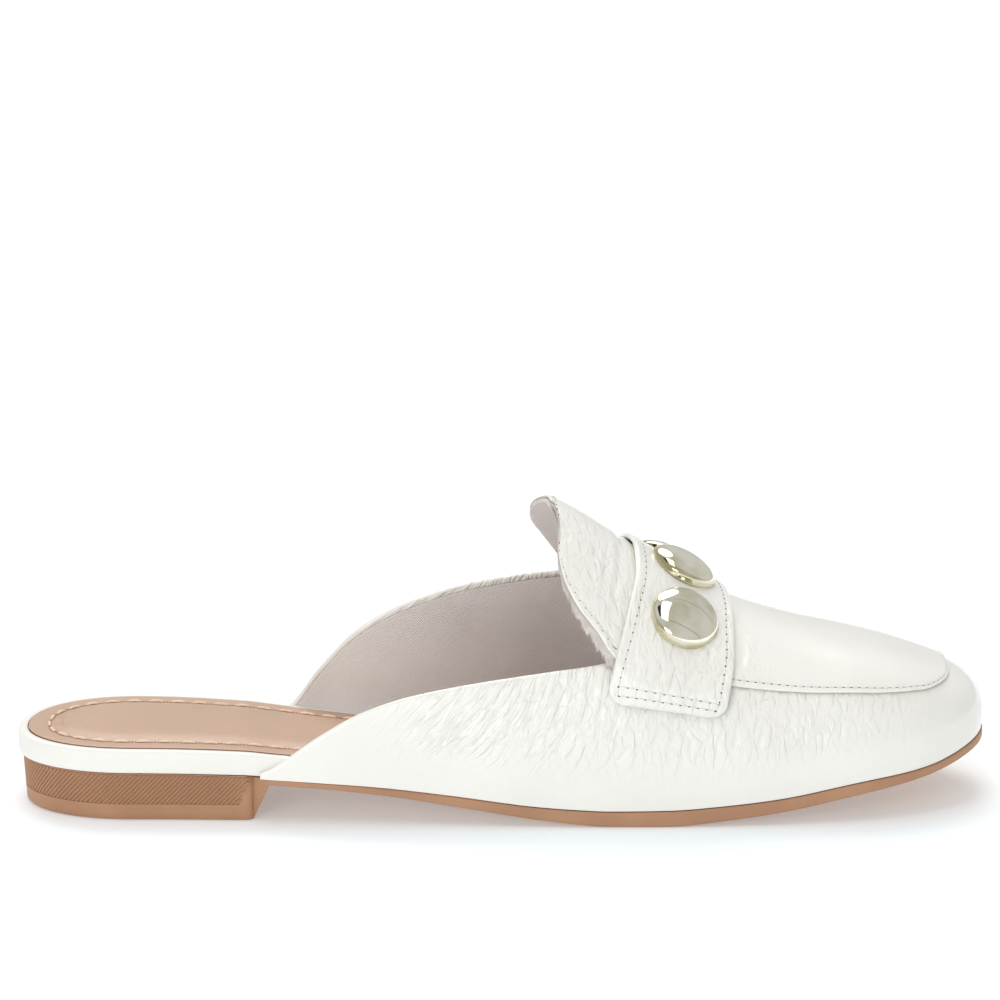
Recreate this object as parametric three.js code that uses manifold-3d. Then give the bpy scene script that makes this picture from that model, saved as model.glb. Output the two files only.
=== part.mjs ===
// A right-foot loafer mule: a closed square toe, no back, a low ribbed heel, a saddle strap with three
// domed studs and a tongue that stands up behind it. Millimetres, +Z up.
//
// While the pieces are worked out, x runs from the back of the heel to the toe, y from the heel's centre
// line with the inner (medial) side positive, and z up from the floor. The last line shifts the group so
// that its origin is the bottom centre of its box.
import * as THREE from "three";
import { mergeVertices } from "three/addons/utils/BufferGeometryUtils.js";
import Module from "manifold-3d";

const wasm = await Module();
wasm.setup();

// Driving dimensions
const BOARD_LENGTH = 255.3; // the insole board, which is the last's own bottom
const CLEAR = 0.3; // between pieces that touch
const WALL = 1.8; // the upper: leather and lining
const APRON = 1.1; // the apron's leather, laid over the vamp
const APRON_SKIVED = 0.7; // the same leather thinned at the toe
const TONGUE = 2.3; // the tongue: leather and a raw-edged backing
const STRAP = 1.6; // the folded saddle strap
const STRAP_CLEAR = 0.5; // where the strap bridges the apron, it lies a little looser
const BOARD = 6.2; // the wrapped board at the heel
const BOARD_TOE = 3.6; // the same board under the toes
const SOCK = 1.0; // the cushioned sock, let into the board
const SOCK_SINK = 1.0; // how deep the board is cut for it
const SOCK_INSET = 2.7; // the white border of the board round the sock
const HEEL_ROUND = 31; // how far in front of its back the heel reaches its full width
const TOE_ROUND = 38; // how far behind its tip the toe reaches its full width
const HEEL_POWER = 2.15; // 2 is an ellipse, more is squarer
const TOE_POWER = 2.45;
const STUD_RADIUS = 9.3;
const STUD_RIM = 1.5; // a stud's upright edge
const STUD_DOME = 3.8; // how far its dome stands over that
const STUD_SEAT = 1.0; // how deep a stud presses into the strap
const STRAP_HALF_LENGTH = 62; // from the ridge to either end, over the instep
const STRAP_CORNER = 4.5; // the radius of the strap's corners
const FAN = 198; // ahead of this the sections turn round the toe
const FAN_EASE = 0.7; // how far their upper ends bunch together
const THROAT = 176; // where the throat crosses the ridge, under the strap
const LATERAL = -1; // the outer side
const MEDIAL = 1; // the inner side

// The board's plan: its centre line and its width either side of that line, before the heel and toe are
// rounded.
const PLAN = [
  { x: 0, middle: 0.0, lateral: 26.0, medial: 30.0 },
  { x: 30, middle: 0.0, lateral: 26.8, medial: 30.2 },
  { x: 62, middle: -0.8, lateral: 27.6, medial: 27.4 },
  { x: 92, middle: -1.2, lateral: 28.6, medial: 23.8 },
  { x: 122, middle: -0.6, lateral: 31.2, medial: 28.0 },
  { x: 150, middle: 0.6, lateral: 34.0, medial: 35.3 },
  { x: 172, middle: 1.0, lateral: 35.2, medial: 38.4 },
  { x: 192, middle: 1.2, lateral: 35.0, medial: 38.2 },
  { x: 214, middle: 1.2, lateral: 33.2, medial: 35.6 },
  { x: 234, middle: 1.8, lateral: 30.8, medial: 31.4 },
  { x: 255, middle: 3.5, lateral: 28.0, medial: 28.0 },
];

// The outsole's side view: its top, its underside, and how far it stands out from the board.
const SOLE = [
  { x: 0, top: 12.9, under: 11.0, edge: -1.0 },
  { x: 30, top: 12.8, under: 11.0, edge: -1.0 },
  { x: 60, top: 12.4, under: 10.8, edge: -0.8 },
  { x: 67, top: 11.9, under: 10.2, edge: 0.4 },
  { x: 78, top: 11.2, under: 9.6, edge: 1.2 },
  { x: 96, top: 9.9, under: 7.9, edge: 1.6 },
  { x: 116, top: 7.7, under: 5.0, edge: 2.0 },
  { x: 136, top: 5.1, under: 1.9, edge: 2.3 },
  { x: 148, top: 4.2, under: 0.5, edge: 2.4 },
  { x: 155, top: 3.9, under: 0.0, edge: 2.4 },
  { x: 172, top: 4.1, under: 0.0, edge: 2.4 },
  { x: 184, top: 4.9, under: 1.1, edge: 2.4 },
  { x: 202, top: 6.9, under: 3.5, edge: 2.4 },
  { x: 222, top: 10.5, under: 7.4, edge: 2.4 },
  { x: 240, top: 13.0, under: 10.7, edge: 2.4 },
  { x: 256, top: 17.5, under: 15.0, edge: 2.4 },
];

// The last's upper side: its ridge over the instep, how far its sides bulge past the board, how much of the
// height is side wall, and how much of the width is crown. Behind the throat it is only the form the wings
// lean on.
const LAST = [
  { x: 60, y: 0, z: 94, bulgeLateral: 0.4, bulgeMedial: 0.4, side: 0.54, crown: 0.6 },
  { x: 100, y: 1, z: 88, bulgeLateral: 0.6, bulgeMedial: 0.2, side: 0.54, crown: 0.6 },
  { x: 137, y: 2, z: 77.4, bulgeLateral: 1.0, bulgeMedial: 1.0, side: 0.56, crown: 0.6 },
  { x: 160, y: 2.5, z: 64.4, bulgeLateral: 1.8, bulgeMedial: 1.8, side: 0.56, crown: 0.58 },
  { x: 176, y: 3, z: 55.2, bulgeLateral: 2.4, bulgeMedial: 2.4, side: 0.58, crown: 0.56 },
  { x: 190, y: 3, z: 48.6, bulgeLateral: 2.6, bulgeMedial: 2.6, side: 0.62, crown: 0.58 },
  { x: 206, y: 2.5, z: 43.4, bulgeLateral: 2.6, bulgeMedial: 2.6, side: 0.66, crown: 0.62 },
  { x: 220, y: 2, z: 40.2, bulgeLateral: 2.8, bulgeMedial: 2.8, side: 0.72, crown: 0.64 },
  { x: 228, y: 1.5, z: 38.2, bulgeLateral: 3.0, bulgeMedial: 3.0, side: 0.74, crown: 0.62 },
  { x: 238, y: 1, z: 35.0, bulgeLateral: 1.9, bulgeMedial: 1.9, side: 0.7, crown: 0.6 },
];

// The collar: how high the wings' top edge stands over the floor on either side, from their tips to the
// throat.
const COLLAR = [
  { x: 64.5, lateral: 13.8, medial: 13.8 },
  { x: 68, lateral: 15.4, medial: 15.4 },
  { x: 72, lateral: 18.2, medial: 17.4 },
  { x: 80, lateral: 23.8, medial: 28.0 },
  { x: 91, lateral: 30.0, medial: 39.5 },
  { x: 104, lateral: 34.4, medial: 46.5 },
  { x: 122, lateral: 38.0, medial: 51.5 },
  { x: 140, lateral: 40.6, medial: 53.5 },
  { x: 156, lateral: 42.7, medial: 54.5 },
  { x: 168, lateral: 49.0, medial: 56.0 },
  { x: 176, lateral: 57.0, medial: 57.0 },
];

// The apron and tongue, one cut of leather: each row gives its place on the ridge, where it ends on either
// side by place and height, and how far it sweeps back on the inner side. Rows ahead of the strap end at a
// share of the section instead, so that the edge turns the toe.
const TONGUE_ROWS = [
  { x: 140, lateralX: 144.4, lateralZ: 75.5, medialX: 144.0, medialZ: 62, sweep: 5.2, thick: TONGUE },
  { x: 141.5, lateralX: 143.2, lateralZ: 72, medialX: 145.0, medialZ: 59, sweep: 3.8, thick: TONGUE },
  { x: 143.2, lateralX: 142.4, lateralZ: 68.5, medialX: 146.2, medialZ: 56.5, sweep: 1.8, thick: TONGUE },
  { x: 146, lateralX: 143.2, lateralZ: 64, medialX: 148.4, medialZ: 53.5, sweep: 1, thick: TONGUE },
  { x: 150, lateralX: 146.6, lateralZ: 57, medialX: 151.6, medialZ: 50, sweep: 0.4, thick: TONGUE },
  { x: 156, lateralX: 152.6, lateralZ: 49.6, medialX: 156.4, medialZ: 46.5, sweep: 0.1, thick: 2.0 },
  { x: 161, lateralX: 157.6, lateralZ: 43.4, medialX: 161.0, medialZ: 44, sweep: 0, thick: 1.5 },
  { x: 168, lateralX: 167.0, lateralZ: 40.4, medialX: 168.0, medialZ: 41, sweep: 0, thick: APRON },
  { x: 176, lateralX: 176.0, lateralZ: 37.8, medialX: 176.0, medialZ: 38.5, sweep: 0, thick: APRON },
  { x: 188, lateralX: 188.0, lateralZ: 35.8, medialX: 188.0, medialZ: 36.0, sweep: 0, thick: APRON },
];
const APRON_EDGE = [
  { x: 188, share: 0.5 },
  { x: 206, share: 0.51 },
  { x: 226, share: 0.51 },
  { x: 240, share: 0.53 },
  { x: 248, share: 0.6 },
  { x: 255.3, share: 0.74 },
];

// The saddle strap, from one end over the ridge to the other: its rear and front edges, and the height of
// its ends.
const STRAP_EDGES = [
  { girth: -1.0, rear: 154.8, front: 185.8 },
  { girth: -0.6, rear: 160.2, front: 188.4 },
  { girth: -0.3, rear: 162.4, front: 188.4 },
  { girth: 0.0, rear: 161.4, front: 187.0 },
  { girth: 0.3, rear: 159.6, front: 185.4 },
  { girth: 0.6, rear: 155.8, front: 184.4 },
  { girth: 1.0, rear: 152.0, front: 181.6 },
];
const STRAP_END = [
  { x: 150, z: 33.2 },
  { x: 157, z: 32.3 },
  { x: 190, z: 27.0 },
];
const STUDS = [
  { name: "stud_lateral", girth: -0.52 },
  { name: "stud_middle", girth: -0.06 },
  { name: "stud_medial", girth: 0.41 },
];

// Smooth lines through the tables

function slopeAt(rows, key, column, k) {
  const secant = (a) => (rows[a + 1][column] - rows[a][column]) / (rows[a + 1][key] - rows[a][key]);
  if (k === 0) return secant(0);
  if (k === rows.length - 1) return secant(k - 1);
  const before = secant(k - 1);
  const after = secant(k);
  return before * after <= 0 ? 0 : (2 * before * after) / (before + after);
}

// The value of a column at a place, on a smooth line that never overshoots its rows.
function along(rows, column, place, key = "x") {
  const end = rows.length - 1;
  if (place <= rows[0][key]) return rows[0][column];
  if (place >= rows[end][key]) return rows[end][column];
  let k = 0;
  while (place > rows[k + 1][key]) k++;
  const run = rows[k + 1][key] - rows[k][key];
  const f = (place - rows[k][key]) / run;
  const from = slopeAt(rows, key, column, k) * run;
  const to = slopeAt(rows, key, column, k + 1) * run;
  const a = rows[k][column];
  const b = rows[k + 1][column];
  return a + f * from + f * f * (3 * (b - a) - 2 * from - to) + f * f * f * (2 * (a - b) + from + to);
}

const mix = (a, b, f) => a + (b - a) * f;

function steps(from, to, count) {
  return Array.from({ length: count + 1 }, (_, k) => mix(from, to, k / count));
}

// The plan: turn runs from 0 at the back of the heel, along the outer side to 1 at the toe, and back to 2

const turnAt = (x, side) => {
  const turn = Math.acos(1 - (2 * Math.min(x, BOARD_LENGTH)) / BOARD_LENGTH) / Math.PI;
  return side === LATERAL ? turn : 2 - turn;
};

function roundedEnd(distance, reach, power) {
  if (distance >= reach) return 1;
  return Math.pow(1 - Math.pow(1 - Math.max(distance, 0) / reach, power), 1 / power);
}

function planAt(anyTurn) {
  const turn = (anyTurn + 2) % 2;
  const x = (BOARD_LENGTH * (1 - Math.cos(Math.PI * turn))) / 2;
  const ends = roundedEnd(x, HEEL_ROUND, HEEL_POWER) * roundedEnd(BOARD_LENGTH - x, TOE_ROUND, TOE_POWER);
  const width = turn < 1 ? -along(PLAN, "lateral", x) : along(PLAN, "medial", x);
  return new THREE.Vector2(x, along(PLAN, "middle", x) + width * ends);
}

function outwardAt(turn) {
  const reach = 1e-3;
  const way = planAt(turn + reach).sub(planAt(turn - reach)).normalize();
  return new THREE.Vector2(way.y, -way.x);
}

// A point of the plan's outline, moved outward.
function outline(x, side, out) {
  const turn = turnAt(x, side);
  return planAt(turn).addScaledVector(outwardAt(turn), out);
}

// The last: stretched outward by a distance, it gives the faces of every piece that lies on it

const ridgePlace = (x) => (x < FAN ? x : x - (FAN_EASE * (x - FAN) ** 2) / (2 * (BOARD_LENGTH - FAN)));

function ridgeSlope(place) {
  const reach = 0.5;
  return (along(LAST, "z", place + reach) - along(LAST, "z", place - reach)) / (2 * reach);
}

function ridgePoint(x, out) {
  const place = ridgePlace(x);
  const slope = ridgeSlope(place);
  const stretch = out / Math.hypot(1, slope);
  const height = along(LAST, "z", place) + stretch;
  return new THREE.Vector3(place - slope * stretch, along(LAST, "y", place), height);
}

// share runs from 0 at the board to 1 at the ridge.
function lastPoint(x, side, share, out) {
  const turn = turnAt(x, side);
  const away = outwardAt(turn);
  const foot = planAt(turn).addScaledVector(away, out + CLEAR);
  const low = new THREE.Vector3(foot.x, foot.y, along(SOLE, "top", x) + CLEAR);
  const high = ridgePoint(x, out);
  const place = ridgePlace(x);
  const bulge = along(LAST, side === LATERAL ? "bulgeLateral" : "bulgeMedial", place);
  const crown = along(LAST, "crown", place);
  const wall = low.clone();
  wall.x += away.x * bulge;
  wall.y += away.y * bulge;
  wall.z += (high.z - low.z) * along(LAST, "side", place);
  const shoulder = high.clone();
  shoulder.x += (low.x - high.x) * crown;
  shoulder.y += (low.y - high.y) * crown;
  shoulder.z += (low.x - high.x) * crown * ridgeSlope(place);
  return new THREE.CubicBezierCurve3(low, wall, shoulder, high).getPoint(share);
}

// The share of a section at which it reaches a height.
function shareAtHeight(x, side, height, out) {
  let low = 0;
  let high = 1;
  for (let k = 0; k < 30; k++) {
    const middle = (low + high) / 2;
    if (lastPoint(x, side, middle, out).z < height) low = middle;
    else high = middle;
  }
  return (low + high) / 2;
}

// Closed meshes

class Skin {
  points = [];

  triangle(a, b, c) {
    this.points.push(a, b, c);
  }

  quad(a, b, c, d) {
    this.triangle(a, b, c);
    this.triangle(a, c, d);
  }

  // A sheet of columns of points, its front to the right of the way the columns run.
  sheet(columns, turned = false) {
    for (let i = 0; i + 1 < columns.length; i++)
      for (let j = 0; j + 1 < columns[i].length; j++) {
        const corners = [columns[i][j], columns[i + 1][j], columns[i + 1][j + 1], columns[i][j + 1]];
        this.quad(...(turned ? corners.reverse() : corners));
      }
  }

  // One indexed geometry, its points merged, its flat triangles dropped and its faces turned outward.
  geometry() {
    const loose = new THREE.BufferGeometry().setFromPoints(this.points);
    const merged = mergeVertices(loose, 1e-3);
    const corner = merged.index.array;
    const kept = [];
    for (let k = 0; k < corner.length; k += 3) {
      const [a, b, c] = [corner[k], corner[k + 1], corner[k + 2]];
      if (a !== b && b !== c && c !== a) kept.push(a, b, c);
    }
    const place = new THREE.Vector3();
    const [p, q, r] = [new THREE.Vector3(), new THREE.Vector3(), new THREE.Vector3()];
    let volume = 0;
    for (let k = 0; k < kept.length; k += 3) {
      p.fromBufferAttribute(merged.attributes.position, kept[k]);
      q.fromBufferAttribute(merged.attributes.position, kept[k + 1]);
      r.fromBufferAttribute(merged.attributes.position, kept[k + 2]);
      volume += p.dot(place.crossVectors(q, r));
    }
    if (volume < 0) kept.reverse();
    merged.setIndex(kept);
    return merged;
  }
}

// The wall between two sheets. Columns run round the shoe, and joined(i) says that column i's top is on the
// ridge, where the column across from it ends as well.
function wallBetween(outer, inner, joined = () => false) {
  const skin = new Skin();
  const last = outer.length - 1;
  const top = outer[0].length - 1;
  skin.sheet(outer);
  skin.sheet(inner, true);
  for (let i = 0; i < last; i++) {
    skin.quad(inner[i][0], inner[i + 1][0], outer[i + 1][0], outer[i][0]);
    if (!(joined(i) && joined(i + 1)))
      skin.quad(outer[i][top], outer[i + 1][top], inner[i + 1][top], inner[i][top]);
  }
  for (let j = 0; j < top; j++) {
    skin.quad(outer[0][j], outer[0][j + 1], inner[0][j + 1], inner[0][j]);
    skin.quad(inner[last][j], inner[last][j + 1], outer[last][j + 1], outer[last][j]);
  }
  return skin.geometry();
}

// A slab stacked from rings that run round the plan at the same places, closed across its top and
// underside.
function slab(rings) {
  const skin = new Skin();
  const count = rings[0].length;
  for (let k = 0; k + 1 < rings.length; k++)
    for (let i = 0; i < count; i++) {
      const next = (i + 1) % count;
      skin.quad(rings[k][i], rings[k][next], rings[k + 1][next], rings[k + 1][i]);
    }
  const across = (ring, turned) => {
    for (let i = 0; i < count / 2; i++) {
      const corners = [ring[i], ring[(count - i) % count], ring[(count - i - 1) % count], ring[i + 1]];
      skin.quad(...(turned ? corners.reverse() : corners));
    }
  };
  across(rings[0], false);
  across(rings[rings.length - 1], true);
  return skin.geometry();
}

// A ring of the plan at the given places: out along the outer side, and back along the inner.
function ring(places, out, height) {
  const point = (x, side) => {
    const p = outline(x, side, out(x));
    return new THREE.Vector3(p.x, p.y, height(x));
  };
  const there = places.map((x) => point(x, LATERAL));
  const back = places.slice(1, -1).reverse().map((x) => point(x, MEDIAL));
  return [...there, ...back];
}

// Places along the board, closer together at its rounded ends.
function boardPlaces(count, ...extra) {
  const even = steps(0, 1, count).map((turn) => (BOARD_LENGTH * (1 - Math.cos(Math.PI * turn))) / 2);
  const apart = 0.4;
  const kept = even.filter((x) => extra.every((y) => Math.abs(x - y) > apart));
  return [...kept, ...extra].sort((a, b) => a - b);
}

// The outsole: a moulded rubber unit, its low heel ribbed round the side above a plain top piece

const BREAST = { foot: 62.4, head: 66.8 }; // the heel's slanting front face
const RIB_PANEL = { end: 57.5, deep: 0.35, lip: 0.6, foot: 4.3 };
const HEEL_TAPER = 1.0;
const HEEL_CORNER = 2.6; // how far the heel's front corners are rounded off
const BOTTOM_ROUND = 0.6; // how far the heel's bottom edge is rounded off
const EDGE_ROUND = 0.3; // the same of the thin edge ahead of it
const TREAD = { rear: 155, front: 172 }; // the forefoot's flat stands between these

// How much of the heel's depth is under a place: all of it behind the breast, none ahead of it.
function heelShare(x) {
  return THREE.MathUtils.clamp((BREAST.head - x) / (BREAST.head - BREAST.foot), 0, 1);
}

// How far the sides draw in to round the heel's front corners.
function cornerInset(x) {
  const ahead = x - (BREAST.foot - HEEL_CORNER);
  if (ahead <= 0 || x >= BREAST.head) return 0;
  const turned = Math.min(ahead / HEEL_CORNER, 1);
  const most = 0.9; // stops short of a square end
  return HEEL_CORNER * (1 - Math.sqrt(1 - most * turned ** 2)) * heelShare(x);
}

function outsole() {
  const panelEnd = [RIB_PANEL.end, RIB_PANEL.end + 0.5];
  const breast = [BREAST.foot - HEEL_CORNER, 61.4, BREAST.foot, 64.6, BREAST.head];
  const places = boardPlaces(56, ...panelEnd, ...breast, TREAD.rear, TREAD.front);
  const top = (x) => along(SOLE, "top", x);
  const under = (x) => mix(along(SOLE, "under", x), 0, heelShare(x));
  const edge = (x) => along(SOLE, "edge", x);
  const panel = (x) => (x <= RIB_PANEL.end ? RIB_PANEL.deep : 0);
  // A ring at a share of the thin sole's edge, at a height on the heel's side, and at a share of the heel's
  // taper.
  const level = (share, heelHeight, taper, inset = () => 0) => {
    const height = (x) => mix(mix(top(x), along(SOLE, "under", x), share), heelHeight(x), heelShare(x));
    const out = (x) => edge(x) - HEEL_TAPER * taper * heelShare(x) - cornerInset(x) - inset(x);
    return ring(places, out, height);
  };
  const round = (x) => mix(EDGE_ROUND, BOTTOM_ROUND, heelShare(x));
  return slab([
    ring(places, edge, top),
    level(0.25, (x) => top(x) - RIB_PANEL.lip, 0.05),
    level(0.3, (x) => top(x) - RIB_PANEL.lip - 0.3, 0.1, panel),
    level(0.6, () => RIB_PANEL.foot + 0.3, 0.65, panel),
    level(0.65, () => RIB_PANEL.foot, 0.65),
    level(0.75, () => BOTTOM_ROUND, 1),
    ring(places, (x) => edge(x) - HEEL_TAPER * heelShare(x) - cornerInset(x) - round(x), under),
  ]);
}

// The insole board, wrapped in white leather: its edge shows round the heel, and the upper is lasted over
// it ahead

function boardTop(x) {
  const thinned = THREE.MathUtils.smoothstep(x, 40, 150);
  return along(SOLE, "top", x) + CLEAR + mix(BOARD, BOARD_TOE, thinned);
}

function board() {
  const places = boardPlaces(44);
  const foot = (x) => along(SOLE, "top", x) + CLEAR;
  const topRound = 1.0;
  const footRound = 0.5;
  const recess = SOCK_INSET - CLEAR;
  return slab([
    ring(places, () => -recess, (x) => boardTop(x) - SOCK_SINK),
    ring(places, () => -recess, boardTop),
    ring(places, () => -topRound, boardTop),
    ring(places, () => 0, (x) => boardTop(x) - topRound),
    ring(places, () => 0, (x) => foot(x) + footRound),
    ring(places, () => -footRound, foot),
  ]);
}

// The cushioned sock in its recess

function sock() {
  const places = boardPlaces(44);
  const foot = (x) => boardTop(x) - SOCK_SINK + CLEAR;
  const slope = 0.8; // its cushioned edge rises over this width
  return slab([
    ring(places, () => -SOCK_INSET - slope, (x) => foot(x) + SOCK),
    ring(places, () => -SOCK_INSET, (x) => foot(x) + SOCK / 2),
    ring(places, () => -SOCK_INSET, foot),
  ]);
}

// Shares up a section whose own top is at a given share: even near the board, where the next section's
// match them.
function sharesUp(top, rows) {
  const most = 0.8; // more than this would fold a short section's rows over each other
  const even = top < 1 ? Math.min(1, (most * top) / (1 - top)) : 1;
  return steps(0, 1, rows).map((f) => top * f + (1 - top) * f * (1 - f) * even);
}

// Stations along the shoe: a table's own rows, some places between them, and a fan of them round the toe.
function stationsRound(rows, between, toeCount) {
  const toe = steps(0, 1, toeCount).map((f) => mix(FAN, BOARD_LENGTH, Math.sin((f * Math.PI) / 2)));
  return [...rows.map((row) => row.x), ...between, ...toe].sort((a, b) => a - b);
}

// Columns of points round the shoe from the outer side to the inner, each from its low edge up to its top.
function columnsRound(stations, sectionAt) {
  const there = stations.map((x) => sectionAt(x, LATERAL));
  const back = stations.slice(0, -1).reverse().map((x) => sectionAt(x, MEDIAL));
  return [...there, ...back];
}

// The upper: one hollow wall from wing tip to wing tip, open at the heel, the throat and underneath

function upper() {
  const rows = 12;
  const between = [86, 97, 113, 131, 148, 162, 172, 183, 191];
  const stations = stationsRound(COLLAR, between, 13);
  const sectionOf = (out) => (x, side) => {
    const height = along(COLLAR, side === LATERAL ? "lateral" : "medial", x);
    const share = x >= THROAT ? 1 : shareAtHeight(x, side, height, out);
    return sharesUp(share, rows).map((s) => lastPoint(x, side, s, out));
  };
  const joined = (i) => {
    const k = Math.min(i, 2 * (stations.length - 1) - i);
    return stations[k] >= THROAT;
  };
  const outer = columnsRound(stations, sectionOf(WALL));
  const inner = columnsRound(stations, sectionOf(0));
  return wallBetween(outer, inner, joined);
}

// The apron and tongue: one cut of leather over the vamp, from the toe back under the strap and up into the
// tongue

function apronEdge(x, side, out) {
  const row = TONGUE_ROWS[TONGUE_ROWS.length - 1];
  const [place, height] = side === LATERAL ? ["lateralX", "lateralZ"] : ["medialX", "medialZ"];
  if (x <= row.x) {
    const edgeX = along(TONGUE_ROWS, place, x);
    const sweep = side === MEDIAL ? along(TONGUE_ROWS, "sweep", x) : 0;
    return { x: edgeX, share: shareAtHeight(edgeX, side, along(TONGUE_ROWS, height, x), out), sweep };
  }
  const start = shareAtHeight(row.x, side, row[height], out);
  return { x, share: start + along(APRON_EDGE, "share", x) - APRON_EDGE[0].share, sweep: 0 };
}

// The shape of the tongue's backward sweep: nothing at its edge and on the ridge, and 1 a quarter of the
// way up.
const lobe = (f) => (f * (1 - f) ** 3) / (0.25 * 0.75 ** 3);

// The apron's thickness: the doubled tongue, one leather over the vamp, and skived at the toe.
function apronThickness(x) {
  const thinned = THREE.MathUtils.smoothstep(x, FAN, BOARD_LENGTH);
  return along(TONGUE_ROWS, "thick", x) - (APRON - APRON_SKIVED) * thinned;
}

function apron() {
  const rows = 8;
  const between = [147.6, 153, 164.5, 172, 182, 193];
  const stations = stationsRound(TONGUE_ROWS, between, 12);
  const sectionOf = (outer) => (x, side) => {
    const edge = apronEdge(x, side, WALL + CLEAR);
    const out = WALL + CLEAR + (outer ? apronThickness(x) : 0);
    return steps(0, 1, rows).map((f) => {
      const place = mix(edge.x, x, 1 - (1 - f) ** 2) - edge.sweep * lobe(f);
      return lastPoint(place, side, mix(edge.share, 1, f), out);
    });
  };
  const outer = columnsRound(stations, sectionOf(true));
  const inner = columnsRound(stations, sectionOf(false));
  return wallBetween(outer, inner, () => true);
}

// The saddle strap, over apron and vamp. girth runs from -1 at its outer end over the ridge to 1 at its
// inner end

function strapShare(x, side, girth) {
  const end = shareAtHeight(x, side, along(STRAP_END, "z", x), WALL);
  return mix(1, end, Math.abs(girth));
}

// How far below the apron's edge, in shares of a section, the strap starts to rise over it and has risen.
const STRAP_RISE = { from: 0.15, to: 0.05 };

// How far the strap's underside stands off the last: over the apron in the middle, on the vamp at its ends.
function strapLift(x, side, girth) {
  const edge = apronEdge(x, side, WALL + CLEAR).share;
  const [from, to] = [edge - STRAP_RISE.from, edge - STRAP_RISE.to];
  const over = THREE.MathUtils.smoothstep(strapShare(x, side, girth), from, to);
  return WALL + CLEAR + over * (apronThickness(x) + STRAP_CLEAR);
}

function strapPoint(girth, across, out) {
  const side = girth < 0 ? LATERAL : MEDIAL;
  const left = (1 - Math.abs(girth)) * STRAP_HALF_LENGTH;
  const beyond = Math.max(STRAP_CORNER - left, 0);
  const cut = STRAP_CORNER - Math.sqrt(STRAP_CORNER ** 2 - beyond ** 2);
  const rear = along(STRAP_EDGES, "rear", girth, "girth") + cut;
  const front = along(STRAP_EDGES, "front", girth, "girth") - cut;
  const x = mix(rear, front, across);
  return lastPoint(x, side, strapShare(x, side, girth), strapLift(x, side, girth) + out);
}

const STUD_ROOM = 0.4; // round a stud in its seat
const STUD_SIDES = 28;

// Where a stud sits on the strap, and the way it faces.
function studSeat(girth) {
  const [middle, reach] = [0.5, 0.02];
  const at = strapPoint(girth, middle, STRAP);
  const along01 = strapPoint(girth, middle + reach, STRAP).sub(strapPoint(girth, middle - reach, STRAP));
  const round = strapPoint(girth + reach, middle, STRAP).sub(strapPoint(girth - reach, middle, STRAP));
  const up = along01.cross(round).normalize();
  const turn = new THREE.Quaternion().setFromUnitVectors(new THREE.Vector3(0, 0, 1), up);
  return { position: at.addScaledVector(up, CLEAR - STUD_SEAT), turn };
}

function solidOf(geometry, matrix) {
  const bare = geometry.index ? geometry.toNonIndexed() : geometry.clone();
  const place = new THREE.BufferGeometry().setAttribute("position", bare.getAttribute("position"));
  if (matrix) place.applyMatrix4(matrix);
  const merged = mergeVertices(place, 1e-3);
  const mesh = new wasm.Mesh({
    numProp: 3,
    vertProperties: merged.attributes.position.array,
    triVerts: new Uint32Array(merged.index.array),
  });
  return new wasm.Manifold(mesh);
}

function geometryOf(solid) {
  const mesh = solid.getMesh();
  return new THREE.BufferGeometry()
    .setAttribute("position", new THREE.BufferAttribute(new Float32Array(mesh.vertProperties), 3))
    .setIndex(new THREE.BufferAttribute(new Uint32Array(mesh.triVerts), 1));
}

function strap() {
  const corner = 0.07; // the share of the girth that the corners' closer steps take
  const girths = [...steps(-1, corner - 1, 3), ...steps(-0.88, 0.88, 22), ...steps(1 - corner, 1, 3)];
  const sheet = (out) => girths.map((g) => steps(0, 1, 6).map((a) => strapPoint(g, a, out)));
  let solid = solidOf(wallBetween(sheet(STRAP), sheet(0)));
  const deep = 8;
  const radius = STUD_RADIUS + STUD_ROOM;
  const seat = new THREE.CylinderGeometry(radius, radius, deep, STUD_SIDES);
  seat.rotateX(Math.PI / 2);
  seat.translate(0, 0, deep / 2 - CLEAR);
  for (const { girth } of STUDS) {
    const { position, turn } = studSeat(girth);
    const matrix = new THREE.Matrix4().compose(position, turn, new THREE.Vector3(1, 1, 1));
    solid = solid.subtract(solidOf(seat, matrix));
  }
  return geometryOf(solid);
}

// A domed stud with a short upright rim.
function stud() {
  const bevel = 0.5;
  const profile = [
    new THREE.Vector2(0, 0),
    new THREE.Vector2(STUD_RADIUS - bevel, 0),
    new THREE.Vector2(STUD_RADIUS, bevel),
  ];
  for (const angle of steps(0, Math.PI / 2, 6))
    profile.push(new THREE.Vector2(STUD_RADIUS * Math.cos(angle), STUD_RIM + STUD_DOME * Math.sin(angle)));
  profile[profile.length - 1].x = 0;
  const lathe = new THREE.LatheGeometry(profile, STUD_SIDES);
  lathe.rotateX(Math.PI / 2);
  return lathe;
}

// Finishes

function finish(color, roughness, metalness = 0) {
  return new THREE.MeshStandardMaterial({ color, roughness, metalness });
}

const whiteLeather = finish(0xf1efe8, 0.35);
const whiteBinding = finish(0xf6f5ef, 0.45);
const tanRubber = finish(0xad8062, 0.6);
const tanLeather = finish(0xc0a084, 0.5);
const paleGold = finish(0xd8d2b4, 0.12, 1);

function piece(name, geometry, material) {
  const mesh = new THREE.Mesh(geometry, material);
  mesh.name = name;
  return mesh;
}

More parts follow.
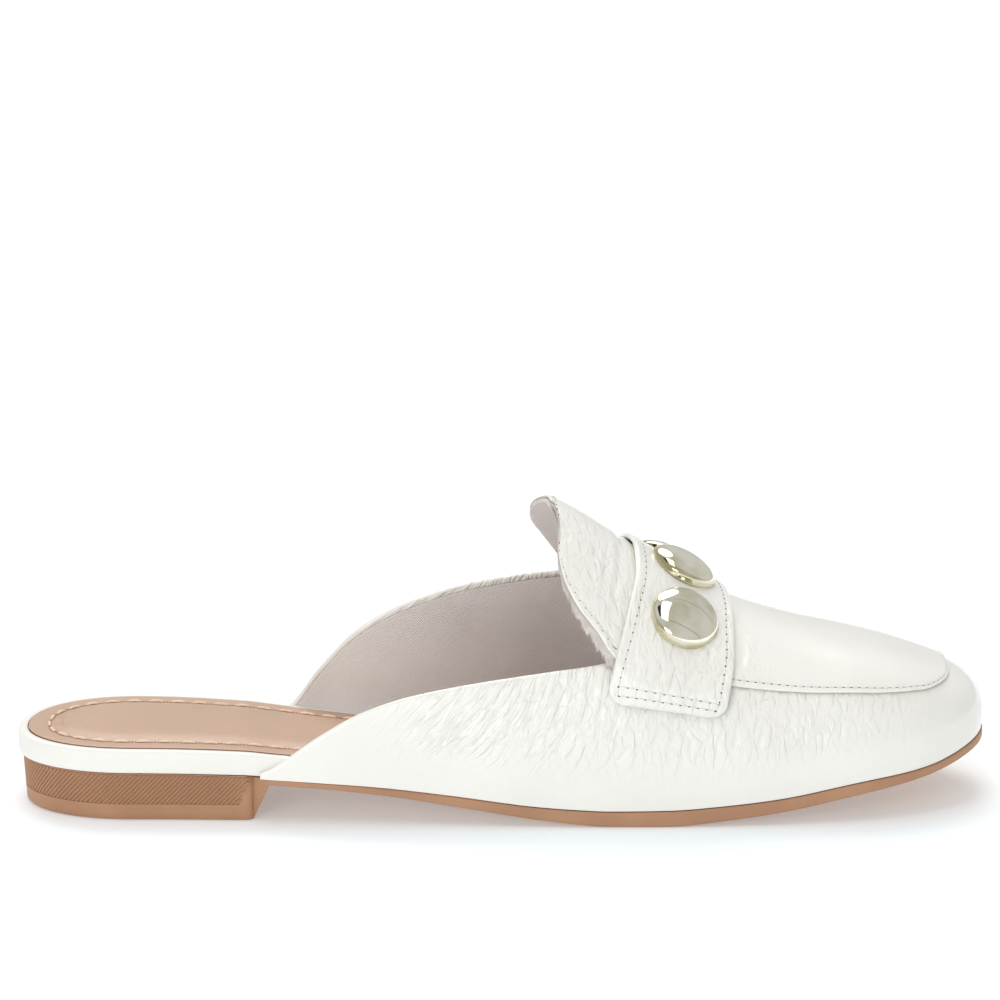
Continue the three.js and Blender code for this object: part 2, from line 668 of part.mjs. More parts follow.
function shoe() {
  const group = new THREE.Group();
  group.add(
    piece("outsole", outsole(), tanRubber),
    piece("insole_board", board(), whiteBinding),
    piece("sock", sock(), tanLeather),
    piece("upper", upper(), whiteLeather),
    piece("apron_tongue", apron(), whiteLeather),
    piece("saddle_strap", strap(), whiteLeather),
  );
  for (const { name, girth } of STUDS) {
    const { position, turn } = studSeat(girth);
    const mesh = piece(name, stud(), paleGold);
    mesh.position.copy(position);
    mesh.quaternion.copy(turn);
    group.add(mesh);
  }
  const box = new THREE.Box3().setFromObject(group, true);
  const middle = box.getCenter(new THREE.Vector3());
  group.position.set(-middle.x, -middle.y, -box.min.z);
  return group;
}

export default shoe();
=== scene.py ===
import math

import bmesh
import bpy
import numpy as np
from mathutils import Matrix, Vector
from mathutils.bvhtree import BVHTree


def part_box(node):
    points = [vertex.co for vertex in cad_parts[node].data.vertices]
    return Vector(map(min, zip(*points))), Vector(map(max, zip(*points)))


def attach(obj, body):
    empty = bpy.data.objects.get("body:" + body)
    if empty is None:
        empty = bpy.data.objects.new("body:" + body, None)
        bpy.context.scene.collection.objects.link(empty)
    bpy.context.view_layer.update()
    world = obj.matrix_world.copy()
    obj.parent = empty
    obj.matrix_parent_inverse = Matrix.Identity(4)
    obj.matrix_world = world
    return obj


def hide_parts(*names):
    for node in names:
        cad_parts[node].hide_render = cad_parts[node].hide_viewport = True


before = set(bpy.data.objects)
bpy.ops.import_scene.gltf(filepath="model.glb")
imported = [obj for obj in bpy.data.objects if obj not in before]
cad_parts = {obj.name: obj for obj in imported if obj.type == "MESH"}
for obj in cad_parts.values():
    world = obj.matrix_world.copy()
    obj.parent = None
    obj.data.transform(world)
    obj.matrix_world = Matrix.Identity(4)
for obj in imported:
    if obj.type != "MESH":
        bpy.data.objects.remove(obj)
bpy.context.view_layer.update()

# Sizes of the shoe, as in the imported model

BOARD_LENGTH = 255.3
CLEAR = 0.3  # between pieces that touch
WALL = 1.8
APRON = 1.1
APRON_SKIVED = 0.7  # at the toe
TONGUE = 2.3
STRAP = 1.6
STRAP_CLEAR = 0.5  # over the apron
BOARD = 6.2
BOARD_TOE = 3.6
SOCK = 1.0
SOCK_SINK = 1.0  # below the top of the board's binding
SOCK_INSET = 2.7
HEEL_ROUND = 31
TOE_ROUND = 38
HEEL_POWER = 2.15
TOE_POWER = 2.45
STUD_RADIUS = 9.3
STUD_RIM = 1.5
STUD_DOME = 3.8
STUD_SEAT = 1.0  # how deep a stud presses into the strap
FAN = 198  # ahead of this, the upper's sections fan round the toe
FAN_EASE = 0.7
THROAT = 176  # where the wings' top edges meet on the ridge
STRAP_CORNER = 4.5
STRAP_HALF_LENGTH = 62
HEEL_BREAST = {"foot": 62.4, "head": 66.8}
HEEL_TAPER = 1.0
HEEL_CORNER = 2.6
BOTTOM_ROUND = 0.6
LATERAL = -1
MEDIAL = 1


def smooth_line(places, values):
    """A line through a column of a table that never overshoots its rows, and stays level past its ends."""
    secants = np.diff(values) / np.diff(places)
    before, after = secants[:-1], secants[1:]
    same_way = before * after > 0
    inner = np.where(same_way, 2 * before * after / np.where(same_way, before + after, 1), 0)
    slopes = np.concatenate([secants[:1], inner, secants[-1:]])

    def value(place):
        place = np.clip(place, places[0], places[-1])
        k = np.clip(np.searchsorted(places, place) - 1, 0, len(places) - 2)
        run = places[k + 1] - places[k]
        f = (place - places[k]) / run
        a, b = values[k], values[k + 1]
        start, end = slopes[k] * run, slopes[k + 1] * run
        return a + f * start + f**2 * (3 * (b - a) - 2 * start - end) + f**3 * (2 * (a - b) + start + end)

    return value


def table(columns, *rows):
    """Reads a table with named columns as smooth lines over its first column."""
    values = np.array(rows, float).T
    return {name: smooth_line(values[0], values[k]) for k, name in enumerate(columns.split())}


PLAN = table(
    "x middle lateral medial",
    (0, 0, 26, 30),
    (30, 0, 26.8, 30.2),
    (62, -0.8, 27.6, 27.4),
    (92, -1.2, 28.6, 23.8),
    (122, -0.6, 31.2, 28),
    (150, 0.6, 34, 35.3),
    (172, 1, 35.2, 38.4),
    (192, 1.2, 35, 38.2),
    (214, 1.2, 33.2, 35.6),
    (234, 1.8, 30.8, 31.4),
    (255, 3.5, 28, 28),
)
SOLE = table(
    "x top under edge",
    (0, 12.9, 11, -1),
    (30, 12.8, 11, -1),
    (60, 12.4, 10.8, -0.8),
    (67, 11.9, 10.2, 0.4),
    (78, 11.2, 9.6, 1.2),
    (96, 9.9, 7.9, 1.6),
    (116, 7.7, 5, 2),
    (136, 5.1, 1.9, 2.3),
    (148, 4.2, 0.5, 2.4),
    (155, 3.9, 0, 2.4),
    (172, 4.1, 0, 2.4),
    (184, 4.9, 1.1, 2.4),
    (202, 6.9, 3.5, 2.4),
    (222, 10.5, 7.4, 2.4),
    (240, 13, 10.7, 2.4),
    (256, 17.5, 15, 2.4),
)
LAST = table(
    "x y z bulge_lateral bulge_medial side crown",
    (60, 0, 94, 0.4, 0.4, 0.54, 0.6),
    (100, 1, 88, 0.6, 0.2, 0.54, 0.6),
    (137, 2, 77.4, 1, 1, 0.56, 0.6),
    (160, 2.5, 64.4, 1.8, 1.8, 0.56, 0.58),
    (176, 3, 55.2, 2.4, 2.4, 0.58, 0.56),
    (190, 3, 48.6, 2.6, 2.6, 0.62, 0.58),
    (206, 2.5, 43.4, 2.6, 2.6, 0.66, 0.62),
    (220, 2, 40.2, 2.8, 2.8, 0.72, 0.64),
    (228, 1.5, 38.2, 3, 3, 0.74, 0.62),
    (238, 1, 35, 1.9, 1.9, 0.7, 0.6),
)
COLLAR = table(
    "x lateral medial",
    (64.5, 13.8, 13.8),
    (68, 15.4, 15.4),
    (72, 18.2, 17.4),
    (80, 23.8, 28),
    (91, 30, 39.5),
    (104, 34.4, 46.5),
    (122, 38, 51.5),
    (140, 40.6, 53.5),
    (156, 42.7, 54.5),
    (168, 49, 56),
    (176, 57, 57),
)
TONGUE_EDGE = table(
    "x lateral_x lateral_z medial_x medial_z sweep thick",
    (140, 144.4, 75.5, 144, 62, 5.2, TONGUE),
    (141.5, 143.2, 72, 145, 59, 3.8, TONGUE),
    (143.2, 142.4, 68.5, 146.2, 56.5, 1.8, TONGUE),
    (146, 143.2, 64, 148.4, 53.5, 1, TONGUE),
    (150, 146.6, 57, 151.6, 50, 0.4, TONGUE),
    (156, 152.6, 49.6, 156.4, 46.5, 0.1, 2),
    (161, 157.6, 43.4, 161, 44, 0, 1.5),
    (168, 167, 40.4, 168, 41, 0, APRON),
    (176, 176, 37.8, 176, 38.5, 0, APRON),
    (188, 188, 35.8, 188, 36, 0, APRON),
)
APRON_FROM = 188
APRON_EDGE = table("x share", (188, 0.5), (206, 0.51), (226, 0.51), (240, 0.53), (248, 0.6), (255.3, 0.74))
STRAP_EDGES = table(
    "girth rear front",
    (-1, 154.8, 185.8),
    (-0.6, 160.2, 188.4),
    (-0.3, 162.4, 188.4),
    (0, 161.4, 187),
    (0.3, 159.6, 185.4),
    (0.6, 155.8, 184.4),
    (1, 152, 181.6),
)
STRAP_END = table("x z", (150, 33.2), (157, 32.3), (190, 27))
STUDS = {"stud_lateral": -0.52, "stud_middle": -0.06, "stud_medial": 0.41}


# The plan of the board, and the last that the upper is drawn over


def mix(a, b, f):
    return a + (b - a) * f


def smoothstep(x, low, high):
    f = np.clip((x - low) / (high - low), 0, 1)
    return f * f * (3 - 2 * f)


def side_column(rows, name, side, place):
    """A column that a table holds once for each side of the shoe."""
    names = name if isinstance(name, tuple) else (f"{name}_lateral", f"{name}_medial")
    return np.where(side < 0, rows[names[0]](place), rows[names[1]](place))


def turn_at(x, side):
    """How far round the board a place lies: 0 at the heel's back, 1 at the toe's tip, 2 at the heel again."""
    turn = np.arccos(1 - 2 * np.clip(x, 0, BOARD_LENGTH) / BOARD_LENGTH) / np.pi
    return np.where(side < 0, turn, 2 - turn)


def rounded_end(distance, reach, power):
    left = np.clip(1 - distance / reach, 0, 1)
    return (1 - left**power) ** (1 / power)


def plan_at(turn):
    turn = np.mod(turn, 2)
    x = BOARD_LENGTH * (1 - np.cos(np.pi * turn)) / 2
    ends = rounded_end(x, HEEL_ROUND, HEEL_POWER) * rounded_end(BOARD_LENGTH - x, TOE_ROUND, TOE_POWER)
    width = np.where(turn < 1, -PLAN["lateral"](x), PLAN["medial"](x))
    return np.stack([x, PLAN["middle"](x) + width * ends], -1)


def outward_at(turn):
    reach = 1e-3
    way = plan_at(turn + reach) - plan_at(turn - reach)
    way /= np.linalg.norm(way, axis=-1, keepdims=True)
    return np.stack([way[..., 1], -way[..., 0]], -1)


def outline(turn, out):
    return plan_at(turn) + outward_at(turn) * np.asarray(out)[..., None]


def ridge_place(x):
    return np.where(x < FAN, x, x - FAN_EASE * (x - FAN) ** 2 / (2 * (BOARD_LENGTH - FAN)))


def ridge_slope(place):
    return LAST["z"](place + 0.5) - LAST["z"](place - 0.5)


def last_point(x, side, share, out):
    """A point over the last: share runs from 0 at the board to 1 on the ridge, out is its distance off it."""
    x, side, share, out = np.broadcast_arrays(*(np.asarray(v, float) for v in (x, side, share, out)))
    turn = turn_at(x, side)
    away = outward_at(turn)
    foot = plan_at(turn) + away * (out + CLEAR)[..., None]
    place = ridge_place(x)
    slope = ridge_slope(place)
    stretch = out / np.hypot(1, slope)
    low = np.concatenate([foot, (SOLE["top"](x) + CLEAR)[..., None]], -1)
    high = np.stack([place - slope * stretch, LAST["y"](place), LAST["z"](place) + stretch], -1)
    bulge = side_column(LAST, "bulge", side, place)
    crown = LAST["crown"](place)
    rise = (high[..., 2] - low[..., 2]) * LAST["side"](place)
    wall = low + np.stack([away[..., 0] * bulge, away[..., 1] * bulge, rise], -1)
    shoulder = high.copy()
    shoulder[..., :2] += (low - high)[..., :2] * crown[..., None]
    shoulder[..., 2] += (low - high)[..., 0] * crown * slope
    t = share[..., None]
    return (1 - t) ** 3 * low + 3 * (1 - t) ** 2 * t * wall + 3 * (1 - t) * t**2 * shoulder + t**3 * high


def share_at_height(x, side, height, out):
    x, side, height, out = np.broadcast_arrays(*(np.asarray(v, float) for v in (x, side, height, out)))
    low, high = np.zeros(x.shape), np.ones(x.shape)
    for _ in range(26):
        middle = (low + high) / 2
        below = last_point(x, side, middle, out)[..., 2] < height
        low = np.where(below, middle, low)
        high = np.where(below, high, middle)
    return (low + high) / 2


def frame_shift():
    """What takes the shoe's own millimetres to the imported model's frame."""
    low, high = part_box("insole_board")
    turns = np.linspace(0, 2, 4001)
    sides = plan_at(turns)[:, 1]
    across = (low.y + high.y) * 500 - (sides.min() + sides.max()) / 2
    return np.array([low.x * 1000, across, 0.0])


SHIFT = frame_shift()


def to_frame(points):
    return (np.asarray(points, float) + SHIFT) / 1000


# Meshes

WELD_WITHIN = 2e-6
SLIVER = 1e-6


def new_piece(name, points, faces, materials, face_material=None, sharp=35, masks=None):
    """A piece from points in millimetres and faces of three or more corners, welded where points meet."""
    mesh = bpy.data.meshes.new(name)
    mesh.from_pydata(to_frame(points).tolist(), [], faces)
    for material in materials:
        mesh.materials.append(material)
    if face_material is not None:
        mesh.polygons.foreach_set("material_index", np.asarray(face_material, np.int32))
    for mask, values in (masks or {}).items():
        mesh.attributes.new(mask, "FLOAT", "POINT").data.foreach_set("value", np.asarray(values, np.float32))
    weld(mesh)
    mesh.polygons.foreach_set("use_smooth", np.ones(len(mesh.polygons), bool))
    mesh.set_sharp_from_angle(angle=math.radians(sharp))
    piece = bpy.data.objects.new(name, mesh)
    bpy.context.scene.collection.objects.link(piece)
    return piece


def weld(mesh):
    shape = bmesh.new()
    shape.from_mesh(mesh)
    bmesh.ops.remove_doubles(shape, verts=shape.verts, dist=WELD_WITHIN)
    bmesh.ops.dissolve_degenerate(shape, edges=shape.edges, dist=SLIVER)
    bmesh.ops.recalc_face_normals(shape, faces=shape.faces)
    shape.to_mesh(mesh)
    shape.free()


def quads_round(start, size):
    """Faces between a closed loop of points and the next one, for the loop that begins at start."""
    k = np.arange(size)
    following = (k + 1) % size
    return start + np.stack([k, following, size + following, size + k], -1)


def loft(loops, skip=None, caps=True):
    """Faces between closed loops of points, one loop after another, and where on its loop each face lies.

    skip marks, for each loop, the faces that stay out. A cap closes an end, and its faces are marked -1.
    """
    count, size = loops.shape[:2]
    k = np.arange(size)
    faces = []
    owner = []
    for i in range(count - 1):
        keep = np.ones(size, bool) if skip is None else ~skip[i]
        faces += quads_round(i * size, size)[keep].tolist()
        owner += k[keep].tolist()
    if caps:
        half = size // 2
        for start in (0, (count - 1) * size):
            for j in range(half - 1):
                faces.append([start + j, start + j + 1, start + size - 2 - j, start + size - 1 - j])
                owner.append(-1)
    return faces, np.array(owner)


def ring_faces(rings):
    """Faces between rings of points, one ring after another."""
    count = len(rings[0])
    return [face for r in range(len(rings) - 1) for face in quads_round(r * count, count).tolist()]


def closed_across(start, count):
    """Faces that close a ring across the board, from one side to the other."""
    across = [(i, (count - i) % count, count - i - 1, i + 1) for i in range(count // 2)]
    return [[start + k for k in face] for face in across]


def stack_rings(rings):
    """A slab of rings that run round the board at the same turns, its top and underside closed across."""
    count = len(rings[0])
    faces = ring_faces(rings) + closed_across(0, count) + closed_across((len(rings) - 1) * count, count)
    return np.concatenate(rings), faces


def even_turns(count):
    """Turns round the board, the outer side first, with the heel's back and the toe's tip among them."""
    return np.arange(2 * count) / count


def turns_of(places):
    there = turn_at(np.array(places, float), LATERAL)
    return np.concatenate([there, 2 - there[1:-1][::-1]])


def ring(turns, out, height):
    x = plan_at(turns)[:, 0]
    flat = outline(turns, np.broadcast_to(out(x) if callable(out) else out, x.shape))
    return np.column_stack([flat, np.broadcast_to(height(x), x.shape)])


def tubes(loops):
    """Closed tubes from their loops of points: tubes, rows along each, points round each row."""
    count, rows, sides = loops.shape[:3]
    k = np.arange(sides)
    starts = np.arange(count)[:, None] * rows * sides
    around = (starts + np.arange(rows - 1) * sides).reshape(-1, 1, 1) + quads_round(0, sides)
    faces = around.reshape(-1, 4).tolist()
    faces += (starts + k).tolist()
    faces += (starts + (rows - 1) * sides + k).tolist()
    return loops.reshape(-1, 3), faces


# Threads and seams

# A stitch from end to end: how far along, the thread's share of its radius, and its height over the leather
STITCH = np.array([
    (0, 0.15, -0.3),
    (0.06, 0.75, -0.05),
    (0.3, 1, 0.12),
    (0.5, 1, 0.16),
    (0.7, 1, 0.12),
    (0.94, 0.75, -0.05),
    (1, 0.15, -0.3),
])
STITCH_SIDES = 6
HOLE_SIDES = 8
HOLE_RISE = 0.03
HOLE_DEPTH = 0.2
SHADE_BED_THICKNESS = 0.07
# The bed of painted shade under a thick thread: how far along, and its share of its half width
SHADE_BED = np.array([(-0.03, 0.3), (0.08, 0.9), (0.5, 1), (0.92, 0.9), (1.03, 0.3)])
# A seam's pitch and stitch length, its thread's radius, and the half length and width of its needle holes
SOCK_SEAM = (5.9, 4.4, 0.44, (0.26, 0.26))
APRON_SEAM = (2.12, 1.2, 0.15, (0.45, 0.21))
TONGUE_SEAM = (2.5, 1.9, 0.17, (0.24, 0.2))
STRAP_SIDE_SEAM = (2.55, 1.7, 0.17, (0.32, 0.26))
STRAP_END_SEAM = (2.4, 1.5, 0.17, (0.42, 0.22))
SOCK_SHADE_BED = 0.5


def sew(path, lift, pitch, length, thread, hole, shade_bed=0.0):
    """Stitches along a path: threads that dip into the leather, and the dark needle holes at their ends, as
    painted shade.

    bed is the half width of the dark channel, painted shade, that a thick thread lies in.
    """
    run = np.concatenate([[0], np.cumsum(np.linalg.norm(np.diff(path, axis=0), axis=1))])
    count = max(2, int(round(run[-1] / pitch)))
    step = run[-1] / count

    def at(s, line):
        return np.stack([np.interp(s, run, line[:, k]) for k in range(3)], -1)

    def axes(s):
        up = at(s, lift)
        up /= np.linalg.norm(up, axis=-1, keepdims=True)
        ahead = at(s + 0.1, path) - at(s - 0.1, path)
        ahead /= np.linalg.norm(ahead, axis=-1, keepdims=True)
        return at(s, path), ahead, up, np.cross(ahead, up)

    def section(middle, side, up, wide, tall, sides):
        turns = np.arange(sides) * 2 * np.pi / sides
        around = np.cos(turns)[:, None] * (side * wide)[..., None, :]
        return middle[..., None, :] + around + np.sin(turns)[:, None] * (up * tall)[..., None, :]

    starts = np.arange(count)[:, None] * step + (step - length) / 2
    middle, _, up, across = axes(starts + STITCH[:, 0] * length)
    radius = thread * STITCH[:, 1, None]
    threads = tubes(section(middle + up * STITCH[:, 2, None], across, up, radius, radius, STITCH_SIDES))
    seats = np.arange(count + 1)[:, None] * step + np.zeros(2)
    middle, ahead, up, across = axes(seats)
    ends = middle + up * np.array([[HOLE_RISE], [-HOLE_DEPTH]])
    holes = [tubes(section(ends, ahead, across, *hole, HOLE_SIDES))]
    if shade_bed:
        middle, _, up, across = axes(starts + SHADE_BED[:, 0] * length)
        holes.append(tubes(section(middle, across, up, shade_bed * SHADE_BED[:, 1, None], SHADE_BED_THICKNESS, STITCH_SIDES)))
    return threads, join(holes)


def seam_on(point, top, *where):
    """A seam on a sheet, and the way up from it, from the sheet's own functions of place and of height."""
    where = np.broadcast_arrays(*where)
    out = top(*where)
    path = point(*where, out)
    return path, point(*where, out + 0.5) - path


def join(parts):
    """Points and faces of several parts as one."""
    points, faces, start = [], [], 0
    for some, own in parts:
        points.append(some)
        faces += [[k + start for k in face] for face in own]
        start += len(some)
    return np.concatenate(points), faces


# Material parts


def add(tree, kind, inputs=None, **settings):
    """A node with its settings, and its inputs as values or as sockets to link from."""
    node = tree.nodes.new(kind)
    for key, value in settings.items():
        setattr(node, key, value)
    for key, value in (inputs or {}).items():
        if isinstance(value, bpy.types.NodeSocket):
            tree.links.new(value, node.inputs[key])
        else:
            node.inputs[key].default_value = value
    return node


def node_group(name, inputs, outputs):
    group = bpy.data.node_groups.new(name, "ShaderNodeTree")
    for label, kind, value in inputs:
        socket = group.interface.new_socket(label, in_out="INPUT", socket_type=kind)
        if value is not None:
            socket.default_value = value
    for label, kind in outputs:
        group.interface.new_socket(label, in_out="OUTPUT", socket_type=kind)
    return group, group.nodes.new("NodeGroupInput").outputs, group.nodes.new("NodeGroupOutput").inputs


def multiply(tree, a, b):
    return add(tree, "ShaderNodeMath", {0: a, 1: b}, operation="MULTIPLY").outputs[0]


def add_up(tree, a, b):
    return add(tree, "ShaderNodeMath", {0: a, 1: b}, operation="ADD").outputs[0]


def spread(tree, value, low, high, to_low, to_high):
    inputs = {"Value": value, "From Min": low, "From Max": high, "To Min": to_low, "To Max": to_high}
    return add(tree, "ShaderNodeMapRange", inputs, interpolation_type="SMOOTHSTEP").outputs["Result"]


def vector_math(tree, operation, inputs):
    return add(tree, "ShaderNodeVectorMath", inputs, operation=operation).outputs


def noise(tree, place, scale, detail=2.0, roughness=0.5):
    inputs = {"Vector": place, "Scale": scale, "Detail": detail, "Roughness": roughness}
    return add(tree, "ShaderNodeTexNoise", inputs).outputs


def mask(tree, name):
    """A mask that the piece's points carry."""
    return add(tree, "ShaderNodeAttribute", attribute_name=name).outputs["Fac"]


WANDER_SCALE = 340.0
WANDER_REACH = 0.0034
RIPPLE_SCALE = 520.0


def shrunken_grain_group():
    """Shrunken leather: upright pillows parted by branching creases, over a fine pore grain."""
    group, given, made = node_group(
        "shrunken_grain",
        [
            ("Place", "NodeSocketVector", None),
            ("Pillow Scale", "NodeSocketFloat", 360.0),
            ("Pore Scale", "NodeSocketFloat", 1900.0),
            ("Pillow Height", "NodeSocketFloat", 1.0),
            ("Pore Height", "NodeSocketFloat", 0.15),
        ],
        [("Height", "NodeSocketFloat"), ("Painted Shade", "NodeSocketFloat")],
    )
    wander = noise(group, given["Place"], WANDER_SCALE)["Color"]
    shift = vector_math(group, "ADD", {0: wander, 1: (-0.5, -0.5, -0.5)})[0]
    small = vector_math(group, "SCALE", {0: shift, "Scale": WANDER_REACH})[0]
    bent = vector_math(group, "ADD", {0: given["Place"], 1: small})[0]
    cells = {"Vector": bent, "Scale": given["Pillow Scale"], "Randomness": 1.0}
    edges = add(group, "ShaderNodeTexVoronoi", cells, feature="DISTANCE_TO_EDGE")
    pillows = add(group, "ShaderNodeTexVoronoi", cells, feature="SMOOTH_F1")
    flank = spread(group, edges.outputs["Distance"], 0.0, 0.2, 0.0, 1.0)
    rounded = spread(group, pillows.outputs["Distance"], 0.05, 0.8, 1.0, 0.0)
    ripples = spread(group, noise(group, bent, RIPPLE_SCALE, 1.0)["Fac"], 0.3, 0.7, 0.0, 1.0)
    body = add_up(group, multiply(group, flank, 0.4), multiply(group, rounded, 0.3))
    body = add_up(group, body, multiply(group, ripples, 0.4))
    pores = noise(group, given["Place"], given["Pore Scale"])["Fac"]
    tall = multiply(group, body, given["Pillow Height"])
    fine = multiply(group, pores, given["Pore Height"])
    group.links.new(add_up(group, tall, fine), made["Height"])
    # Where the creases lie: the mask of the shade painted into them
    group.links.new(spread(group, body, 0.1, 0.5, 1.0, 0.0), made["Painted Shade"])
    return group


def uneven_tint_group():
    """A colour that drifts a little between two shades, as dyed and finished leather does, and deepens
    further where shade is painted.
    """
    group, given, made = node_group(
        "uneven_tint",
        [
            ("Place", "NodeSocketVector", None),
            ("Light", "NodeSocketColor", (1, 1, 1, 1)),
            ("Deep", "NodeSocketColor", (0.9, 0.9, 0.9, 1)),
            ("Patch Scale", "NodeSocketFloat", 60.0),
            ("Painted Shade", "NodeSocketFloat", 0.0),
        ],
        [("Color", "NodeSocketColor")],
    )
    cloud = noise(group, given["Place"], given["Patch Scale"], 4.0)["Fac"]
    patch = spread(group, cloud, 0.35, 0.65, 0.0, 0.6)
    # Random patches of deeper colour, plus the painted shade that the fifth input marks
    deep = add_up(group, patch, multiply(group, given["Painted Shade"], 0.5))
    shades = {"Factor": deep, "A": given["Light"], "B": given["Deep"]}
    group.links.new(add(group, "ShaderNodeMix", shades, data_type="RGBA").outputs["Result"], made["Color"])
    return group


def twill_group():
    """Fine slanting twill lines, broken up by a cross thread, for a woven lining."""
    group, given, made = node_group(
        "twill_weave",
        [("Place", "NodeSocketVector", None), ("Lines", "NodeSocketFloat", 1.0)],
        [("Height", "NodeSocketFloat"), ("Valley Shade", "NodeSocketFloat")],
    )

    def threads(angle):
        turned = add(
            group, "ShaderNodeVectorRotate", {"Vector": given["Place"], "Angle": math.radians(angle)},
            rotation_type="Y_AXIS",
        )
        wave = {"Vector": turned.outputs[0], "Scale": given["Lines"], "Distortion": 0.0}
        return add(group, "ShaderNodeTexWave", wave, bands_direction="X").outputs["Fac"]

    lines = threads(-42)
    height = add_up(group, lines, multiply(group, threads(58), 0.3))
    group.links.new(height, made["Height"])
    # The weave's valleys, where shade is painted into the lining's colour
    group.links.new(spread(group, height, 0.0, 1.0, 1.0, 0.0), made["Valley Shade"])
    return group


SHRUNKEN_GRAIN = shrunken_grain_group()
UNEVEN_TINT = uneven_tint_group()
TWILL_WEAVE = twill_group()


def blank_material(name):
    material = bpy.data.materials.new(name)
    material.use_nodes = True
    tree = material.node_tree
    shader = tree.nodes["Principled BSDF"]
    place = add(tree, "ShaderNodeTexCoord").outputs["Object"]
    return material, tree, shader, place


def use_group(tree, group, inputs):
    return add(tree, "ShaderNodeGroup", inputs, node_tree=group).outputs


def bump(tree, shader, height, distance):
    node = add(tree, "ShaderNodeBump", {"Height": height, "Distance": distance, "Strength": 1.0})
    tree.links.new(node.outputs["Normal"], shader.inputs["Normal"])


# creases marks where shade is painted into the colour, in its deep shade
def tint(tree, shader, place, shades, scale, creases=0.0):
    light, deep = shades
    inputs = {"Place": place, "Light": light, "Deep": deep, "Patch Scale": scale, "Painted Shade": creases}
    tree.links.new(use_group(tree, UNEVEN_TINT, inputs)["Color"], shader.inputs["Base Color"])


def finish(name, shades, patch_scale, roughness, relief=None, depth=0.0, sheen=0.0):
    """A material in a drifting colour. relief gives its height, and where shade is painted deeper into its
    colour.
    """
    material, tree, shader, place = blank_material(name)
    height, creases = relief(tree, place) if relief else (None, 0.0)
    tint(tree, shader, place, shades, patch_scale, creases)
    if relief:
        bump(tree, shader, height, depth)
    shader.inputs["Roughness"].default_value = roughness
    shader.inputs["Sheen Weight"].default_value = sheen
    return material


def fine_grain(scale, pillow, pore, shaded):
    """The relief of smooth leather, and whether shade is painted into its creases."""
    def relief(tree, place):
        heights = {"Pillow Scale": scale, "Pillow Height": pillow, "Pore Height": pore}
        grain = use_group(tree, SHRUNKEN_GRAIN, {"Place": place, **heights})
        return grain["Height"], grain["Painted Shade"] if shaded else 0.0
    return relief


def fibres(scale, detail, roughness=0.5):
    return lambda tree, place: (noise(tree, place, scale, detail, roughness)["Fac"], 0.0)


# A fine texture in the rubber's height, and shade painted darker into the ribbed band's grooves
def grooved_shade(tree, place):
    return noise(tree, place, 2600.0, 3.0)["Fac"], mask(tree, "groove")


# The twill's relief, and shade painted into its valleys
def twill(tree, place):
    weave = use_group(tree, TWILL_WEAVE, {"Place": place, "Lines": 590.0})
    return weave["Height"], multiply(tree, weave["Valley Shade"], 0.8)


def twist(tree, place):
    wave = {"Vector": place, "Scale": 900.0}
    return add(tree, "ShaderNodeTexWave", wave, bands_direction="DIAGONAL").outputs["Fac"], 0.0


GRAIN_DEPTH = 0.00042
GRAIN_STRETCH = (1.0, 0.42, 0.42)  # upright pillows, longer than they are wide


def white_leather():
    """The upper's leather, whose grain grows and leans as two masks on its pieces say, with shade painted
    into the grain's creases.
    """
    material, tree, shader, place = blank_material("glossy_white_leather")
    amount = mask(tree, "grain")
    aside = add(tree, "ShaderNodeCombineXYZ", {"X": mask(tree, "lean")}).outputs[0]
    upright = vector_math(tree, "SUBTRACT", {0: place, 1: aside})[0]
    stretched = add(tree, "ShaderNodeMapping", {"Vector": upright, "Scale": GRAIN_STRETCH}).outputs[0]
    heights = {"Pillow Height": amount, "Pore Height": 0.05}
    grain = use_group(tree, SHRUNKEN_GRAIN, {"Place": stretched, **heights})
    # Shade painted into the grain's creases, as strongly as the grain shows
    creases = multiply(tree, multiply(tree, grain["Painted Shade"], amount), 0.6)
    tint(tree, shader, place, WHITE_SHADES, 40.0, creases)
    bump(tree, shader, grain["Height"], GRAIN_DEPTH)
    roughness = spread(tree, grain["Painted Shade"], 0.0, 1.0, 0.3, 0.42)
    tree.links.new(roughness, shader.inputs["Roughness"])
    shader.inputs["Coat Weight"].default_value = 0.6
    shader.inputs["Coat Roughness"].default_value = 0.12
    return material


def pale_gold():
    """A polish that a mask paints darker and deeper round the foot of each stud, as painted shade standing in
    for a darker reflection.
    """
    material, tree, shader, place = blank_material("polished_pale_gold")
    tint(tree, shader, place, GOLD_SHADES, 80.0, mask(tree, "rim"))
    polish = noise(tree, place, 300.0)["Fac"]
    tree.links.new(spread(tree, polish, 0.3, 0.7, 0.05, 0.09), shader.inputs["Roughness"])
    shader.inputs["Metallic"].default_value = 1.0
    return material


# Each finish's light and deep shade; painted shade is drawn in the deep one
WHITE_SHADES = (0.89, 0.875, 0.82, 1), (0.84, 0.822, 0.765, 1)
BINDING_SHADES = (0.88, 0.865, 0.81, 1), (0.84, 0.825, 0.77, 1)
SOCK_SHADES = (0.56, 0.365, 0.245, 1), (0.50, 0.32, 0.21, 1)
RUBBER_SHADES = (0.46, 0.245, 0.135, 1), (0.38, 0.195, 0.105, 1)
LINING_SHADES = (0.89, 0.845, 0.82, 1), (0.70, 0.65, 0.625, 1)
BACKING_SHADES = (0.83, 0.775, 0.73, 1), (0.66, 0.585, 0.535, 1)
CUT_SHADES = (0.50, 0.44, 0.36, 1), (0.34, 0.29, 0.235, 1)
WHITE_THREAD_SHADES = (0.86, 0.84, 0.78, 1), (0.76, 0.73, 0.67, 1)
TAN_THREAD_SHADES = (0.95, 0.73, 0.56, 1), (0.82, 0.60, 0.44, 1)
